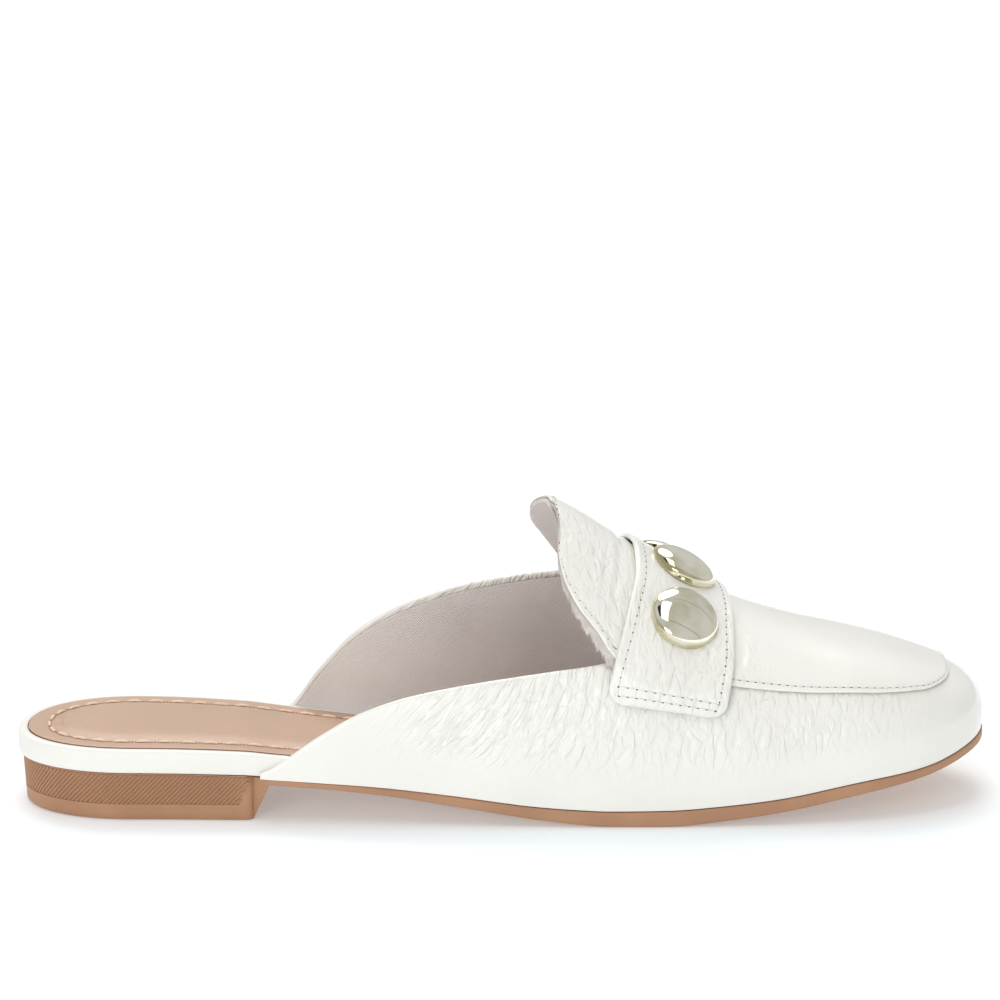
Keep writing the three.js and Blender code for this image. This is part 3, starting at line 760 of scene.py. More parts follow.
# Needle holes, and the sock's thread channels and edge, are drawn in these as painted shade
NEEDLE_SHADES = (0.17, 0.155, 0.135, 1), (0.10, 0.09, 0.08, 1)
CHANNEL_SHADES = (0.30, 0.175, 0.11, 1), (0.22, 0.125, 0.08, 1)
GOLD_SHADES = (0.95, 0.93, 0.79, 1), (0.50, 0.455, 0.27, 1)

# The sock's creases have shade painted into them; the binding's have none
BINDING_GRAIN = fine_grain(900.0, 0.3, 0.2, shaded=False)
SOCK_GRAIN = fine_grain(1300.0, 0.5, 0.3, shaded=True)

# Finishes, with their shades, patch scale, roughness, relief and the relief's depth in metres
WHITE_LEATHER = white_leather()
SMOOTH_WHITE = finish("smooth_white_binding", BINDING_SHADES, 30.0, 0.42, BINDING_GRAIN, 0.00006)
TAN_SOCK = finish("satin_tan_sock", SOCK_SHADES, 30.0, 0.38, SOCK_GRAIN, 0.00006)
TAN_RUBBER = finish("matte_tan_rubber", RUBBER_SHADES, 50.0, 0.5, grooved_shade, 0.00005)
LINING_TWILL = finish("grey_twill_lining", LINING_SHADES, 25.0, 0.7, twill, 0.00012, sheen=0.3)
RAW_BACKING = finish("raw_fibre_backing", BACKING_SHADES, 500.0, 0.9, fibres(1500.0, 5.0, 0.7), 0.0006)
CUT_EDGE = finish("stained_cut_edge", CUT_SHADES, 300.0, 0.6, fibres(2500.0, 3.0), 0.00015)
WHITE_THREAD = finish("waxed_white_thread", WHITE_THREAD_SHADES, 700.0, 0.6, twist, 0.00008)
TAN_THREAD = finish("tan_thread", TAN_THREAD_SHADES, 700.0, 0.6, twist, 0.00008)
NEEDLE_DARK = finish("needle_hole_shade", NEEDLE_SHADES, 900.0, 0.9)
SOCK_SHADE = finish("sock_channel_shade", CHANNEL_SHADES, 900.0, 0.9)
PALE_GOLD = pale_gold()


def settle(piece, slot, *nodes):
    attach(piece, "root")
    if nodes:
        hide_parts(*nodes)
    return piece


FOLD_FADE = 1.5


def folds_on(points, rows):
    """Heights of creases: soft troughs with a low ridge along each side, the same on both sides of the shoe.

    Each row is a crease's two ends, by place and height, its half width and its depth.
    """
    x, z = points[..., 0], points[..., 2]
    height = np.zeros(x.shape)
    for x0, z0, x1, z1, wide, deep in rows:
        length = math.hypot(x1 - x0, z1 - z0)
        way_x, way_z = (x1 - x0) / length, (z1 - z0) / length
        along = (x - x0) * way_x + (z - z0) * way_z
        across = (x - x0) * way_z - (z - z0) * way_x
        fade = smoothstep(along, -FOLD_FADE, 0.35 * length)
        fade = fade * (1 - smoothstep(along, 0.65 * length, length + FOLD_FADE))
        trough = np.exp(-((across / wide) ** 2))
        ridges = np.exp(-(((np.abs(across) - 2 * wide) / wide) ** 2))
        height += deep * fade * (0.5 * ridges - trough)
    return height


# Outsole: a moulded unit with a ribbed band round its low heel

FLAT_STRIP = [155, 172]  # where the sole rests on the floor at the ball of the foot
RIB_BAND = {"foot": 4.3, "lip": 0.25, "deep": 0.4, "end_foot": 58.8, "end_head": 62.4}
RIB_PITCH = 1.25
RIB_SLANT = math.radians(46)
RIB_MARGIN = 0.1
RIB_SECTION = [(-0.52, -0.1), (-0.2, 0.36), (0.2, 0.36), (0.52, -0.1)]  # along the band, and out of it
RIB_STEPS = 8


def heel_share(x):
    return np.clip((HEEL_BREAST["head"] - x) / (HEEL_BREAST["head"] - HEEL_BREAST["foot"]), 0, 1)


def corner_inset(x):
    ahead = x - (HEEL_BREAST["foot"] - HEEL_CORNER)
    turned = np.clip(ahead / HEEL_CORNER, 0, 1)
    inset = HEEL_CORNER * (1 - np.sqrt(1 - 0.9 * turned**2)) * heel_share(x)
    return np.where((ahead <= 0) | (x >= HEEL_BREAST["head"]), 0, inset)


def band_end(z):
    """Where the ribbed band stops at a height, in line with the heel's slanting front."""
    f = (z - RIB_BAND["foot"]) / (SOLE["top"](60.0) - RIB_BAND["foot"])
    return mix(RIB_BAND["end_foot"], RIB_BAND["end_head"], f)


def outsole():
    front = np.arange(54, 68, 0.2)
    places = np.unique(np.concatenate([
        BOARD_LENGTH * (1 - np.cos(np.pi * np.linspace(0, 1, 260))) / 2, front, FLAT_STRIP,
    ]).round(3))
    places = places[np.concatenate([[True], np.diff(places) > 0.05])]
    turns = turns_of(places)
    top, under, edge = SOLE["top"], SOLE["under"], SOLE["edge"]

    def level(share, heel_height, taper, deep=0.0):
        def height(x):
            return mix(mix(top(x), under(x), share), heel_height(x), heel_share(x))

        def out(x):
            z = height(x)
            inset = np.where(x < band_end(z), deep, 0)
            return edge(x) - HEEL_TAPER * taper * heel_share(x) - corner_inset(x) - inset
        return ring(turns, out, height)

    flat = lambda z: lambda x: np.full(np.shape(x), z)
    lip = lambda drop: lambda x: top(x) - drop
    deep = RIB_BAND["deep"]
    round_edge = lambda x, f: BOTTOM_ROUND * f * heel_share(x) + 0.35 * f * (1 - heel_share(x))
    rings = [
        ring(turns, lambda x: edge(x) - 0.25 * (1 - heel_share(x)), top),
        level(0.1, lip(0.1), 0.02),
        level(0.2, lip(RIB_BAND["lip"]), 0.05),
        level(0.23, lip(RIB_BAND["lip"] + 0.12), 0.05, deep),
        level(0.35, lip(3.0), 0.25, deep),
        level(0.5, lip(6.0), 0.48, deep),
        level(0.62, flat(RIB_BAND["foot"] + 0.15), 0.65, deep),
        level(0.65, flat(RIB_BAND["foot"]), 0.65),
        level(0.72, flat(2.0), 0.85),
        level(0.8, flat(BOTTOM_ROUND), 0.98),
    ]
    for f in (0.15, 0.45, 1.0):
        z = lambda x, f=f: mix(under(x) + 0.3 * (1 - f), BOTTOM_ROUND * (1 - f), heel_share(x))
        out = lambda x, f=f: edge(x) - HEEL_TAPER * heel_share(x) - corner_inset(x) - round_edge(x, f)
        rings.append(ring(turns, out, z))
    points, faces = stack_rings(rings)
    in_band = np.zeros(len(rings))
    in_band[3:7] = 1
    x = points[:, 0]
    # The ribbed band's grooves, where shade is painted into the rubber
    groove = np.repeat(in_band, len(turns)) * (x < band_end(points[:, 2]))
    piece = new_piece("moulded_outsole", points, faces, [TAN_RUBBER], sharp=50, masks={"groove": groove})
    settle(piece, "tan_rubber", "outsole")


def heel_ribs():
    """Slanting ribs in the band, each a narrow bar that follows the heel's side."""
    fine = np.linspace(0, turn_at(64.0, LATERAL), 900)
    turns = np.concatenate([-fine[::-1], fine[1:]])
    base = outline(turns, SOLE["edge"](plan_at(turns)[:, 0]) - 0.5)
    run = np.concatenate([[0], np.cumsum(np.linalg.norm(np.diff(base, axis=0), axis=1))])
    lean = math.tan(RIB_SLANT)
    heights = np.linspace(RIB_BAND["foot"] + RIB_MARGIN, SOLE["top"](0.0) - RIB_BAND["lip"] - RIB_MARGIN, 80)
    bars = []
    for start in np.arange(-heights[-1] / lean, run[-1], RIB_PITCH):
        s = start + heights / lean
        x = plan_at(np.interp(s, run, turns))[:, 0]
        ceiling = SOLE["top"](x) - RIB_BAND["lip"] - RIB_MARGIN
        held = heights[(s > 0.3) & (s < run[-1] - 0.3) & (x < band_end(heights) - 0.4) & (heights <= ceiling)]
        if len(held) < RIB_STEPS:
            continue
        z = np.linspace(held[0], held[-1], RIB_STEPS)
        taper = HEEL_TAPER * np.interp(z, [0.6, 4.3, 12.3], [1, 0.65, 0.05])
        bar = []
        for across, rise in RIB_SECTION:
            turn = np.interp(start + z / lean + across, run, turns)
            out = SOLE["edge"](plan_at(turn)[:, 0]) - taper - RIB_BAND["deep"] + rise
            bar.append(np.column_stack([outline(turn, out), z]))
        bars.append(np.stack(bar, 1))
    points, faces = tubes(np.array(bars))
    settle(new_piece("heel_ribs", points, faces, [TAN_RUBBER], sharp=30), "tan_rubber")


# Insole board in its white binding, and the cushioned sock with its stitched line


def board_top(x):
    return SOLE["top"](x) + CLEAR + mix(BOARD, BOARD_TOE, smoothstep(x, 40, 150))


# The binding's rounded edges, outward and down: how far out, and how far below its top or above its foot
BINDING_TOP = [(-1.1, 0.0), (-0.7, 0.07), (-0.35, 0.25), (-0.1, 0.55), (0.0, 1.0)]
BINDING_FOOT = [(0.0, 0.6), (-0.15, 0.25), (-0.5, 0.05), (-1.5, 0.0)]
BINDING_SWELL = 0.12


def insole_board():
    turns = even_turns(240)
    foot = lambda x: SOLE["top"](x) + CLEAR
    lip = SOCK_INSET - CLEAR
    inner = [(-lip, SOCK_SINK), (-lip, 0.2), (-lip + 0.06, 0.06), (-lip + 0.2, 0.0)]
    rings = [ring(turns, out, lambda x, drop=drop: board_top(x) - drop) for out, drop in inner + BINDING_TOP]
    _, top_drop = BINDING_TOP[-1]
    _, foot_rise = BINDING_FOOT[0]
    for f in (0.35, 0.65):
        side = lambda x, f=f: mix(board_top(x) - top_drop, foot(x) + foot_rise, f)
        rings.append(ring(turns, BINDING_SWELL, side))
    rings += [ring(turns, out, lambda x, rise=rise: foot(x) + rise) for out, rise in BINDING_FOOT]
    points, faces = stack_rings(rings)
    piece = new_piece("wrapped_insole_board", points, faces, [SMOOTH_WHITE], sharp=50)
    settle(piece, "white_binding", "insole_board")


SOCK_STITCH_INSET = 5.5
SOCK_STITCH_REACH = 0.66  # in turns, each way from the heel's back
SOCK_RINGS = [0, 0.15, 0.4, 0.9, 2, 3.4, 4.4, 4.9, 5.2, 5.5, 5.8, 6.1, 6.6, 7.6, 9.0]
SOCK_ROWS = 14
THREAD_RISE = 0.12
RAY_FROM = 0.2  # metres over the floor, above the whole shoe


def sock_height(inset):
    """How thick the sock is at a distance inside its edge: a soft edge, a sewn channel, then the cushion."""
    edge = 0.9 + 0.1 * smoothstep(inset, 0.0, 0.5)
    channel = 0.15 * np.exp(-(((inset - SOCK_STITCH_INSET) / 1.05) ** 4))
    cushion = 0.8 * smoothstep(inset, SOCK_STITCH_INSET, SOCK_STITCH_INSET + 6)
    return SOCK * edge - channel + cushion


def laid_on(piece, path):
    """A path in millimetres with each of its points set on top of a piece."""
    surface = BVHTree.FromObject(piece, bpy.context.evaluated_depsgraph_get())
    laid = path.copy()
    for k, point in enumerate(to_frame(path)):
        touched = surface.ray_cast(Vector((point[0], point[1], RAY_FROM)), Vector((0, 0, -1)))[0]
        laid[k, 2] = touched.z * 1000 - SHIFT[2] + THREAD_RISE
    return laid


def padded_sock():
    turns = even_turns(220)
    foot = lambda x: board_top(x) - SOCK_SINK + CLEAR
    rings = [ring(turns, -SOCK_INSET, foot)]
    for inset in SOCK_RINGS:
        top = lambda x, inset=inset: foot(x) + sock_height(np.float64(inset))
        rings.append(ring(turns, -SOCK_INSET - inset, top))
    count = len(turns)
    half = count // 2
    faces = ring_faces(rings) + closed_across(0, count)
    near = rings[-1][: half + 1]
    far = rings[-1][(count - np.arange(half + 1)) % count]
    f = np.linspace(0, 1, SOCK_ROWS + 1)[None, :, None]
    middle = near[:, None] * (1 - f) + far[:, None] * f
    width = np.linalg.norm(far - near, axis=1)[:, None]
    reach = SOCK_RINGS[-1] + np.minimum(f[..., 0], 1 - f[..., 0]) * width
    middle[..., 2] += sock_height(reach) - sock_height(np.float64(SOCK_RINGS[-1]))
    start = len(rings) * count
    for i in range(half):
        for j in range(SOCK_ROWS):
            a = start + i * (SOCK_ROWS + 1) + j
            faces.append([a, a + 1, a + SOCK_ROWS + 2, a + SOCK_ROWS + 1])
    points = np.concatenate(rings + [middle.reshape(-1, 3)])
    # The sock's side faces take the channel shade: a painted shadow line where the sock meets the binding
    painted_edge_shadow = (np.arange(len(faces)) < count).astype(int)
    sock = new_piece("padded_sock", points, faces, [TAN_SOCK, SOCK_SHADE], painted_edge_shadow, 60)
    sock = settle(sock, "tan_leather", "sock")
    reach = SOCK_STITCH_REACH
    line = np.concatenate([np.linspace(2 - reach, 2, 500), np.linspace(0, reach, 500)[1:]])
    x = plan_at(line)[:, 0]
    flat = outline(line, np.full(line.shape, -SOCK_INSET - SOCK_STITCH_INSET))
    path = laid_on(sock, np.column_stack([flat, foot(x)]))
    lift = np.tile([0.0, 0.0, 1.0], (len(line), 1))
    threads, holes = sew(path, lift, *SOCK_SEAM, shade_bed=SOCK_SHADE_BED)
    settle(new_piece("sock_stitches", *threads, [TAN_THREAD], sharp=60), "tan_leather")
    # Dark needle holes and thread channels: painted shade
    settle(new_piece("sock_stitch_shade", *holes, [SOCK_SHADE], sharp=60), "tan_leather")


# Upper: a leather wall with a turned edge, and the woven lining inside it

LINING = 0.42
TURNED_EDGE = 1.7


def stations(fine_wing, fine_toe, start=64.5):
    wing = np.arange(start, FAN, fine_wing)
    toe = mix(FAN, BOARD_LENGTH, np.sin(np.linspace(0, 1, fine_toe + 1) * np.pi / 2))
    return np.unique(np.concatenate([wing, [THROAT], toe]).round(4))


def both_sides(places):
    x = np.concatenate([places, places[:-1][::-1]])
    side = np.concatenate([np.full(len(places), LATERAL), np.full(len(places) - 1, MEDIAL)])
    return x, side


def collar_share(x, side, out, drop):
    """The share at a drop below the collar's edge, which closes up at the wing's tip and the throat."""
    height = side_column(COLLAR, ("lateral", "medial"), side, x)
    room = height - SOLE["top"](x) - CLEAR
    ease = np.minimum(1, room / 5) * (1 - smoothstep(x, THROAT - 10, THROAT))
    share = share_at_height(x, side, height - drop * ease, out)
    return np.where(x >= THROAT, 1.0, share)


def shares_up(top, rows):
    """Shares up a section to its own top, even near the board, where the next section's match them."""
    f = np.linspace(0, 1, rows + 1)
    even = np.minimum(1, 0.8 * top / (1 - top + 1e-9))[:, None]
    return top[:, None] * f + (1 - top)[:, None] * f * (1 - f) * even


# Creases: their rear and front ends as place and height, their half width and their depth
VAMP_FOLDS = [
    (103.4, 24.4, 107.6, 31.0, 0.8, 0.3),
    (107.6, 24.4, 114.5, 34.3, 0.9, 0.4),
    (111.3, 21.0, 116.6, 29.4, 0.8, 0.4),
    (116.1, 23.8, 122.5, 32.1, 0.9, 0.45),
    (120.9, 22.2, 126.7, 29.4, 0.8, 0.4),
    (127.5, 23.0, 131.5, 31.5, 0.8, 0.3),
    (134.0, 24.0, 136.5, 35.0, 0.8, 0.3),
    (142.0, 24.0, 143.2, 37.0, 0.9, 0.35),
    (151.1, 31.0, 151.4, 40.0, 0.9, 0.25),
    (153.3, 25.5, 153.0, 34.0, 0.8, 0.2),
    (157.0, 22.0, 157.4, 31.0, 0.8, 0.2),
    (187.5, 17.0, 189.5, 27.0, 0.9, 0.2),
    (194.0, 18.0, 195.5, 31.0, 0.9, 0.2),
    (202.0, 18.0, 203.5, 28.0, 0.8, 0.18),
    (210.5, 17.0, 211.0, 29.0, 0.9, 0.2),
    (219.0, 19.0, 220.5, 29.0, 0.8, 0.16),
]


def vamp_grain(points):
    """How strongly the grain, and the shade painted into its creases, show: full on the vamp's sides, faint
    on the toe, lower edge and wing tips.
    """
    x, z = points[..., 0], points[..., 2]
    height = z - SOLE["top"](x)
    low = smoothstep(height, 5, 16)
    wing = smoothstep(x, 84, 116)
    toe = 1 - smoothstep(x, 220, 248)
    return np.clip(0.08 + 0.92 * low * wing * toe, 0, 1)


def vamp_lean(points):
    """How far the grain leans at a point: slanting on the wing, upright under and ahead of the strap."""
    slope = mix(0.95, 0.05, smoothstep(points[..., 0], 112, 170))
    return slope * (points[..., 2] - 20) / 1000


def wall_sheet(x, rows_loops, joined_rows):
    """Faces of a wall that closes on the ridge ahead of the throat, where the faces of some rows stay out."""
    size = rows_loops.shape[1]
    joined = x >= THROAT
    skip = np.zeros((len(x) - 1, size), bool)
    skip[joined[:-1] & joined[1:], joined_rows[0] : joined_rows[1]] = True
    faces, _ = loft(rows_loops, skip, caps=False)
    for start in (0, (len(x) - 1) * size):
        faces.append([start + k for k in range(size)])
    return faces


def upper():
    x, side = both_sides(stations(0.7, 64))
    rows = 74
    outer_share = shares_up(collar_share(x, side, WALL, 0.9), rows)
    flat = last_point(x[:, None], side[:, None], outer_share, WALL)
    outer = last_point(x[:, None], side[:, None], outer_share, WALL + folds_on(flat, VAMP_FOLDS))
    edge = []
    for angle in np.linspace(0, np.pi, 9)[1:]:
        out, drop = WALL / 2 * (1 + math.cos(angle)), 0.9 * (1 - math.sin(angle))
        edge.append(last_point(x, side, collar_share(x, side, out, drop), out))
    edge.append(last_point(x, side, collar_share(x, side, 0.0, TURNED_EDGE), 0.0))
    edge.append(last_point(x, side, collar_share(x, side, LINING + 0.05, TURNED_EDGE + 0.1), LINING + 0.05))
    inner_share = shares_up(collar_share(x, side, LINING + 0.05, TURNED_EDGE + 0.15), 14)[:, ::-1]
    inner = last_point(x[:, None], side[:, None], inner_share, LINING + 0.05)
    loops = np.concatenate([outer, np.stack(edge, 1), inner], 1)
    faces = wall_sheet(x, loops, (rows, rows + len(edge) + 1))
    points = loops.reshape(-1, 3)
    masks = {"grain": vamp_grain(points), "lean": vamp_lean(points)}
    piece = new_piece("vamp_and_wings", points, faces, [WHITE_LEATHER], sharp=60, masks=masks)
    settle(piece, "white_leather", "upper")


def lining():
    x, side = both_sides(stations(1.6, 30))
    rows = 24
    inner_share = shares_up(collar_share(x, side, 0.0, TURNED_EDGE + 0.45), rows)
    inner = last_point(x[:, None], side[:, None], inner_share, 0.0)
    edge = []
    for angle in np.linspace(0, np.pi, 5)[1:-1]:
        out, drop = LINING / 2 * (1 - math.cos(angle)), TURNED_EDGE + 0.4 - 0.2 * math.sin(angle)
        edge.append(last_point(x, side, collar_share(x, side, out, drop), out))
    outer_share = shares_up(collar_share(x, side, LINING, TURNED_EDGE + 0.45), 10)[:, ::-1]
    outer = last_point(x[:, None], side[:, None], outer_share, LINING)
    loops = np.concatenate([inner, np.stack(edge, 1), outer], 1)
    faces = wall_sheet(x, loops, (rows, rows + len(edge) + 1))
    piece = new_piece("woven_lining", loops.reshape(-1, 3), faces, [LINING_TWILL], sharp=60)
    settle(piece, "white_leather", "upper")


# Apron and tongue


def apron_edge(x, side):
    """Where the apron and tongue end on a side, for a place on the ridge: place, share and backward sweep."""
    out = WALL + CLEAR
    held = np.minimum(x, APRON_FROM)
    edge_x = side_column(TONGUE_EDGE, ("lateral_x", "medial_x"), side, held)
    height = side_column(TONGUE_EDGE, ("lateral_z", "medial_z"), side, held)
    share = share_at_height(edge_x, side, height, out)
    sweep = np.where(side > 0, TONGUE_EDGE["sweep"](held), 0)
    ahead = x > APRON_FROM
    return (
        np.where(ahead, x, edge_x),
        np.where(ahead, share + APRON_EDGE["share"](x) - 0.5, share),
        np.where(ahead, 0, sweep),
    )


def lobe(f):
    """The shape of the tongue's backward sweep: none at its edge and on the ridge, 1 a quarter of the way."""
    return f * (1 - f) ** 3 / (0.25 * 0.75**3)


def apron_point(x, side, f, out):
    """A point of the apron: f runs from 0 at its edge to 1 on the ridge."""
    edge_x, edge_share, sweep = apron_edge(x, side)
    place = mix(edge_x, x, 1 - (1 - f) ** 2) - sweep * lobe(f)
    return last_point(place, side, mix(edge_share, 1, f), out)


def apron_thickness(x):
    return TONGUE_EDGE["thick"](x) - (APRON - APRON_SKIVED) * smoothstep(x, FAN, BOARD_LENGTH)


APRON_GIRTH = 42.0
TONGUE_LEATHER = 1.15
REAR = 140.0
SEAM_INSET = 2.0
TONGUE_FOLDS = [
    (158.5, 60.0, 160.5, 72.0, 0.9, 0.35),
    (156.5, 52.0, 158.5, 64.0, 0.8, 0.35),
    (154.0, 57.0, 156.0, 68.0, 0.8, 0.3),
    (151.5, 62.0, 153.0, 71.0, 0.8, 0.25),
    (190.5, 40.0, 192.0, 46.0, 0.9, 0.25),
]


def apron_top(x, side, f):
    """How far the apron's grain side stands off the last: thinned to its edge, with a channel and folds."""
    from_edge = np.minimum(f * APRON_GIRTH, 2.4 * (x - REAR))
    rounded = 0.5 * (1 - np.sqrt(np.clip(1 - (1 - np.clip(from_edge / 0.7, 0, 1)) ** 2, 0, 1)))
    thinned = 0.2 * (1 - np.clip(from_edge / 5, 0, 1))
    seam = 0.14 * np.exp(-(((from_edge - SEAM_INSET) / 0.5) ** 2))
    skived = np.minimum(1, apron_thickness(x) / APRON)
    flat = WALL + CLEAR + apron_thickness(x) - (rounded + thinned) * skived - seam
    return flat + folds_on(apron_point(x, side, f, flat), TONGUE_FOLDS)


def near_edge(count):
    """Fractions from the edge up, close together near the edge, where it rounds off."""
    return np.concatenate([[0, 0.003, 0.008, 0.016, 0.026, 0.038, 0.048, 0.06], np.linspace(0.075, 1, count)])


def apron_grain(points):
    x, y = points[..., 0], points[..., 1]
    rear = 1 - smoothstep(x, 188, 206)
    sides = smoothstep(np.abs(y - 2), 8, 24)
    tongue = smoothstep(x, 141, 146) * (1 - smoothstep(x, 150, 176))
    return np.clip(0.04 + 0.5 * rear * sides * smoothstep(x, 141, 146) + 0.6 * tongue, 0, 1)


def folded_sheet(outer, inner):
    """Loops round a sheet with two faces, and the faces on the ridge that stay out of each loop."""
    loops = np.concatenate([outer, inner], 1)
    skip = np.zeros((len(loops) - 1, loops.shape[1]), bool)
    skip[:, outer.shape[1] - 1] = True
    return loops, skip


def apron():
    rear = [140, 140.05, 140.15, 140.3, 140.5, 140.8]
    x, side = both_sides(np.unique(np.concatenate([rear, stations(0.8, 50, 141.5)])))
    f = near_edge(44)
    X, S, F = x[:, None], side[:, None], f[None]
    under = WALL + CLEAR + np.maximum(TONGUE_EDGE["thick"](X) - APRON, 0)
    outer = apron_point(X, S, F, apron_top(X, S, F))
    loops, skip = folded_sheet(outer, apron_point(X, S, F, under)[:, ::-1])
    faces, owner = loft(loops, skip)
    materials = np.where((owner == loops.shape[1] - 1) | (owner == -1), 1, 0)
    points = loops.reshape(-1, 3)
    masks = {"grain": apron_grain(points), "lean": -0.15 * (points[:, 2] - 50) / 1000}
    piece = new_piece("apron_and_tongue", points, faces, [WHITE_LEATHER, CUT_EDGE], materials, 50, masks)
    settle(piece, "white_leather", "apron_tongue")


def backing_reach(x):
    """How far the tongue's raw backing stands out past its leather, in millimetres."""
    waves = 0.22 * np.sin(x * 2.1) + 0.16 * np.sin(x * 4.7 + 1) + 0.1 * np.sin(x * 11.3)
    reach = 0.5 + 2.3 * smoothstep(x, 142, 156) + 2 * waves * smoothstep(x, 141, 147)
    return reach * (1 - smoothstep(x, 166, 170))


def tongue_backing():
    """The tongue's backing: a woven inner face and a raw, frayed edge that shows past the leather."""
    places = np.concatenate([[140, 140.1, 140.3, 140.6], np.linspace(141, 170, 100), [170.4]])
    x, side = both_sides(places)
    f = near_edge(30)
    X, S = x[:, None], side[:, None]
    inside = np.exp(-f * APRON_GIRTH / 1.6)
    F = f - backing_reach(X) / APRON_GIRTH * inside
    low, high = WALL + CLEAR, WALL + CLEAR + TONGUE - TONGUE_LEATHER - 0.1
    outer = apron_point(X, S, F, high - 0.2 * inside)
    inner = apron_point(X, S, F, low + (0.2 + 0.12 * np.sin(X * 5.1 + f * 60)) * inside)[:, ::-1]
    loops, skip = folded_sheet(outer, inner)
    size, half = loops.shape[1], len(f)
    middle = (len(x) - 1) // 2
    skip[middle - 1 : middle + 1] = True
    faces, owner = loft(loops, skip)
    for column in (middle - 1, middle + 1):
        start = column * size
        for j in range(half - 1):
            faces.append([start + j, start + j + 1, start + size - 2 - j, start + size - 1 - j])
            owner = np.append(owner, -1)
    woven = (owner >= half) & (owner < size - 8)
    points = loops.reshape(-1, 3)
    used, faces = keep_used(faces, len(points))
    piece = new_piece(
        "tongue_backing", points[used], faces, [RAW_BACKING, LINING_TWILL], np.where(woven, 1, 0), 50,
    )
    settle(piece, "white_leather", "apron_tongue")


def keep_used(faces, count):
    """The points that faces stand on, and the faces renumbered to them."""
    used = np.unique(np.concatenate([np.array(face) for face in faces]))
    renumber = np.full(count, -1)
    renumber[used] = np.arange(len(used))
    return used, [[int(renumber[k]) for k in face] for face in faces]


def tongue_fray():
    """Short loose fibres along the backing's raw edge."""
    draw = np.random.default_rng(11)
    place = draw.uniform(141, 166, 900)
    place = place[draw.uniform(size=900) < 0.2 + 0.8 * smoothstep(place, 144, 158)]
    count = len(place)
    side = np.where(draw.uniform(size=count) < 0.7, LATERAL, MEDIAL)
    out = WALL + CLEAR + draw.uniform(0.15, 1.0, count)
    rim = -backing_reach(place) / APRON_GIRTH
    start = apron_point(place, side, rim, out)
    away = start - apron_point(place, side, rim + 0.05, out)
    away /= np.linalg.norm(away, axis=1, keepdims=True)
    wander = draw.normal(0, 0.6, (count, 3))
    length = draw.uniform(0.25, 1.0, count)[:, None]
    radius = draw.uniform(0.035, 0.07, count)[:, None]
    sideways = np.cross(away, wander + [0.1, 0.2, 0.3])
    sideways /= np.linalg.norm(sideways, axis=1, keepdims=True)
    up = np.cross(sideways, away)
    turns = np.linspace(0, 2 * np.pi, 4)[:-1]
    rows = []
    for f in (0.0, 0.4, 0.75, 1.0):
        middle = start - away * 0.2 + away * f * length + wander * f**2 * length
        thin = radius * (1 - 0.7 * f)
        rows.append(np.stack([middle + (math.cos(t) * sideways + math.sin(t) * up) * thin for t in turns], 1))
    piece = new_piece("tongue_fray", *tubes(np.stack(rows, 1)), [RAW_BACKING], sharp=60)
    settle(piece, "white_leather")


def apron_stitches():
    inset = SEAM_INSET / APRON_GIRTH
    seam = lambda *where: seam_on(apron_point, apron_top, *where)

    def round_to(there, back):
        return [np.concatenate([a, b[::-1][1:]]) for a, b in zip(there, back)]

    edge = np.linspace(160.5, BOARD_LENGTH, 700)
    rows = [sew(*round_to(seam(edge, LATERAL, inset), seam(edge, MEDIAL, inset)), *APRON_SEAM)]
    rear = np.linspace(141.4, 160, 300)
    for side in (LATERAL, MEDIAL):
        rows.append(sew(*seam(rear, side, inset), *TONGUE_SEAM))
    f = np.linspace(inset, 1, 200)
    rows.append(sew(*round_to(seam(141.3, LATERAL, f), seam(141.3, MEDIAL, f)), *TONGUE_SEAM))
    return rows


# Saddle strap and its studs


def strap_share(x, side, girth):
    end = share_at_height(x, side, STRAP_END["z"](x), WALL)
    return mix(1, end, np.abs(girth))


def strap_lift(x, side, girth):
    _, edge, _ = apron_edge(x, side)
    over = smoothstep(strap_share(x, side, girth), edge - 0.15, edge - 0.05)
    return WALL + CLEAR + over * (apron_thickness(x) + STRAP_CLEAR)


def strap_point(girth, across, out):
    girth, across, out = np.broadcast_arrays(*(np.asarray(v, float) for v in (girth, across, out)))
    side = np.where(girth < 0, LATERAL, MEDIAL)
    left = (1 - np.abs(girth)) * STRAP_HALF_LENGTH
    short = np.clip(STRAP_CORNER - left, 0, STRAP_CORNER)
    cut = STRAP_CORNER - np.sqrt(STRAP_CORNER**2 - short**2)
    rear = STRAP_EDGES["rear"](girth) + cut
    front = STRAP_EDGES["front"](girth) - cut
    x = mix(rear, front, across)
    return last_point(x, side, strap_share(x, side, girth), strap_lift(x, side, girth) + out)


def strap_width(girth):
    return STRAP_EDGES["front"](girth) - STRAP_EDGES["rear"](girth)


def stud_seat(girth):
    reach = 0.02
    at = strap_point(girth, 0.5, STRAP)
    ahead = strap_point(girth, 0.5 + reach, STRAP) - strap_point(girth, 0.5 - reach, STRAP)
    around = strap_point(girth + reach, 0.5, STRAP) - strap_point(girth - reach, 0.5, STRAP)
    up = np.cross(ahead, around)
    up /= np.linalg.norm(up)
    return at + up * (CLEAR - STUD_SEAT), up


def graded(count, edge):
    """Fractions from 0 to 1, closer together near both ends."""
    fine = np.array([0, 0.12, 0.3, 0.55, 0.8, 1.0]) * edge
    return np.concatenate([fine, np.linspace(edge, 1 - edge, count)[1:-1], 1 - fine[::-1]])


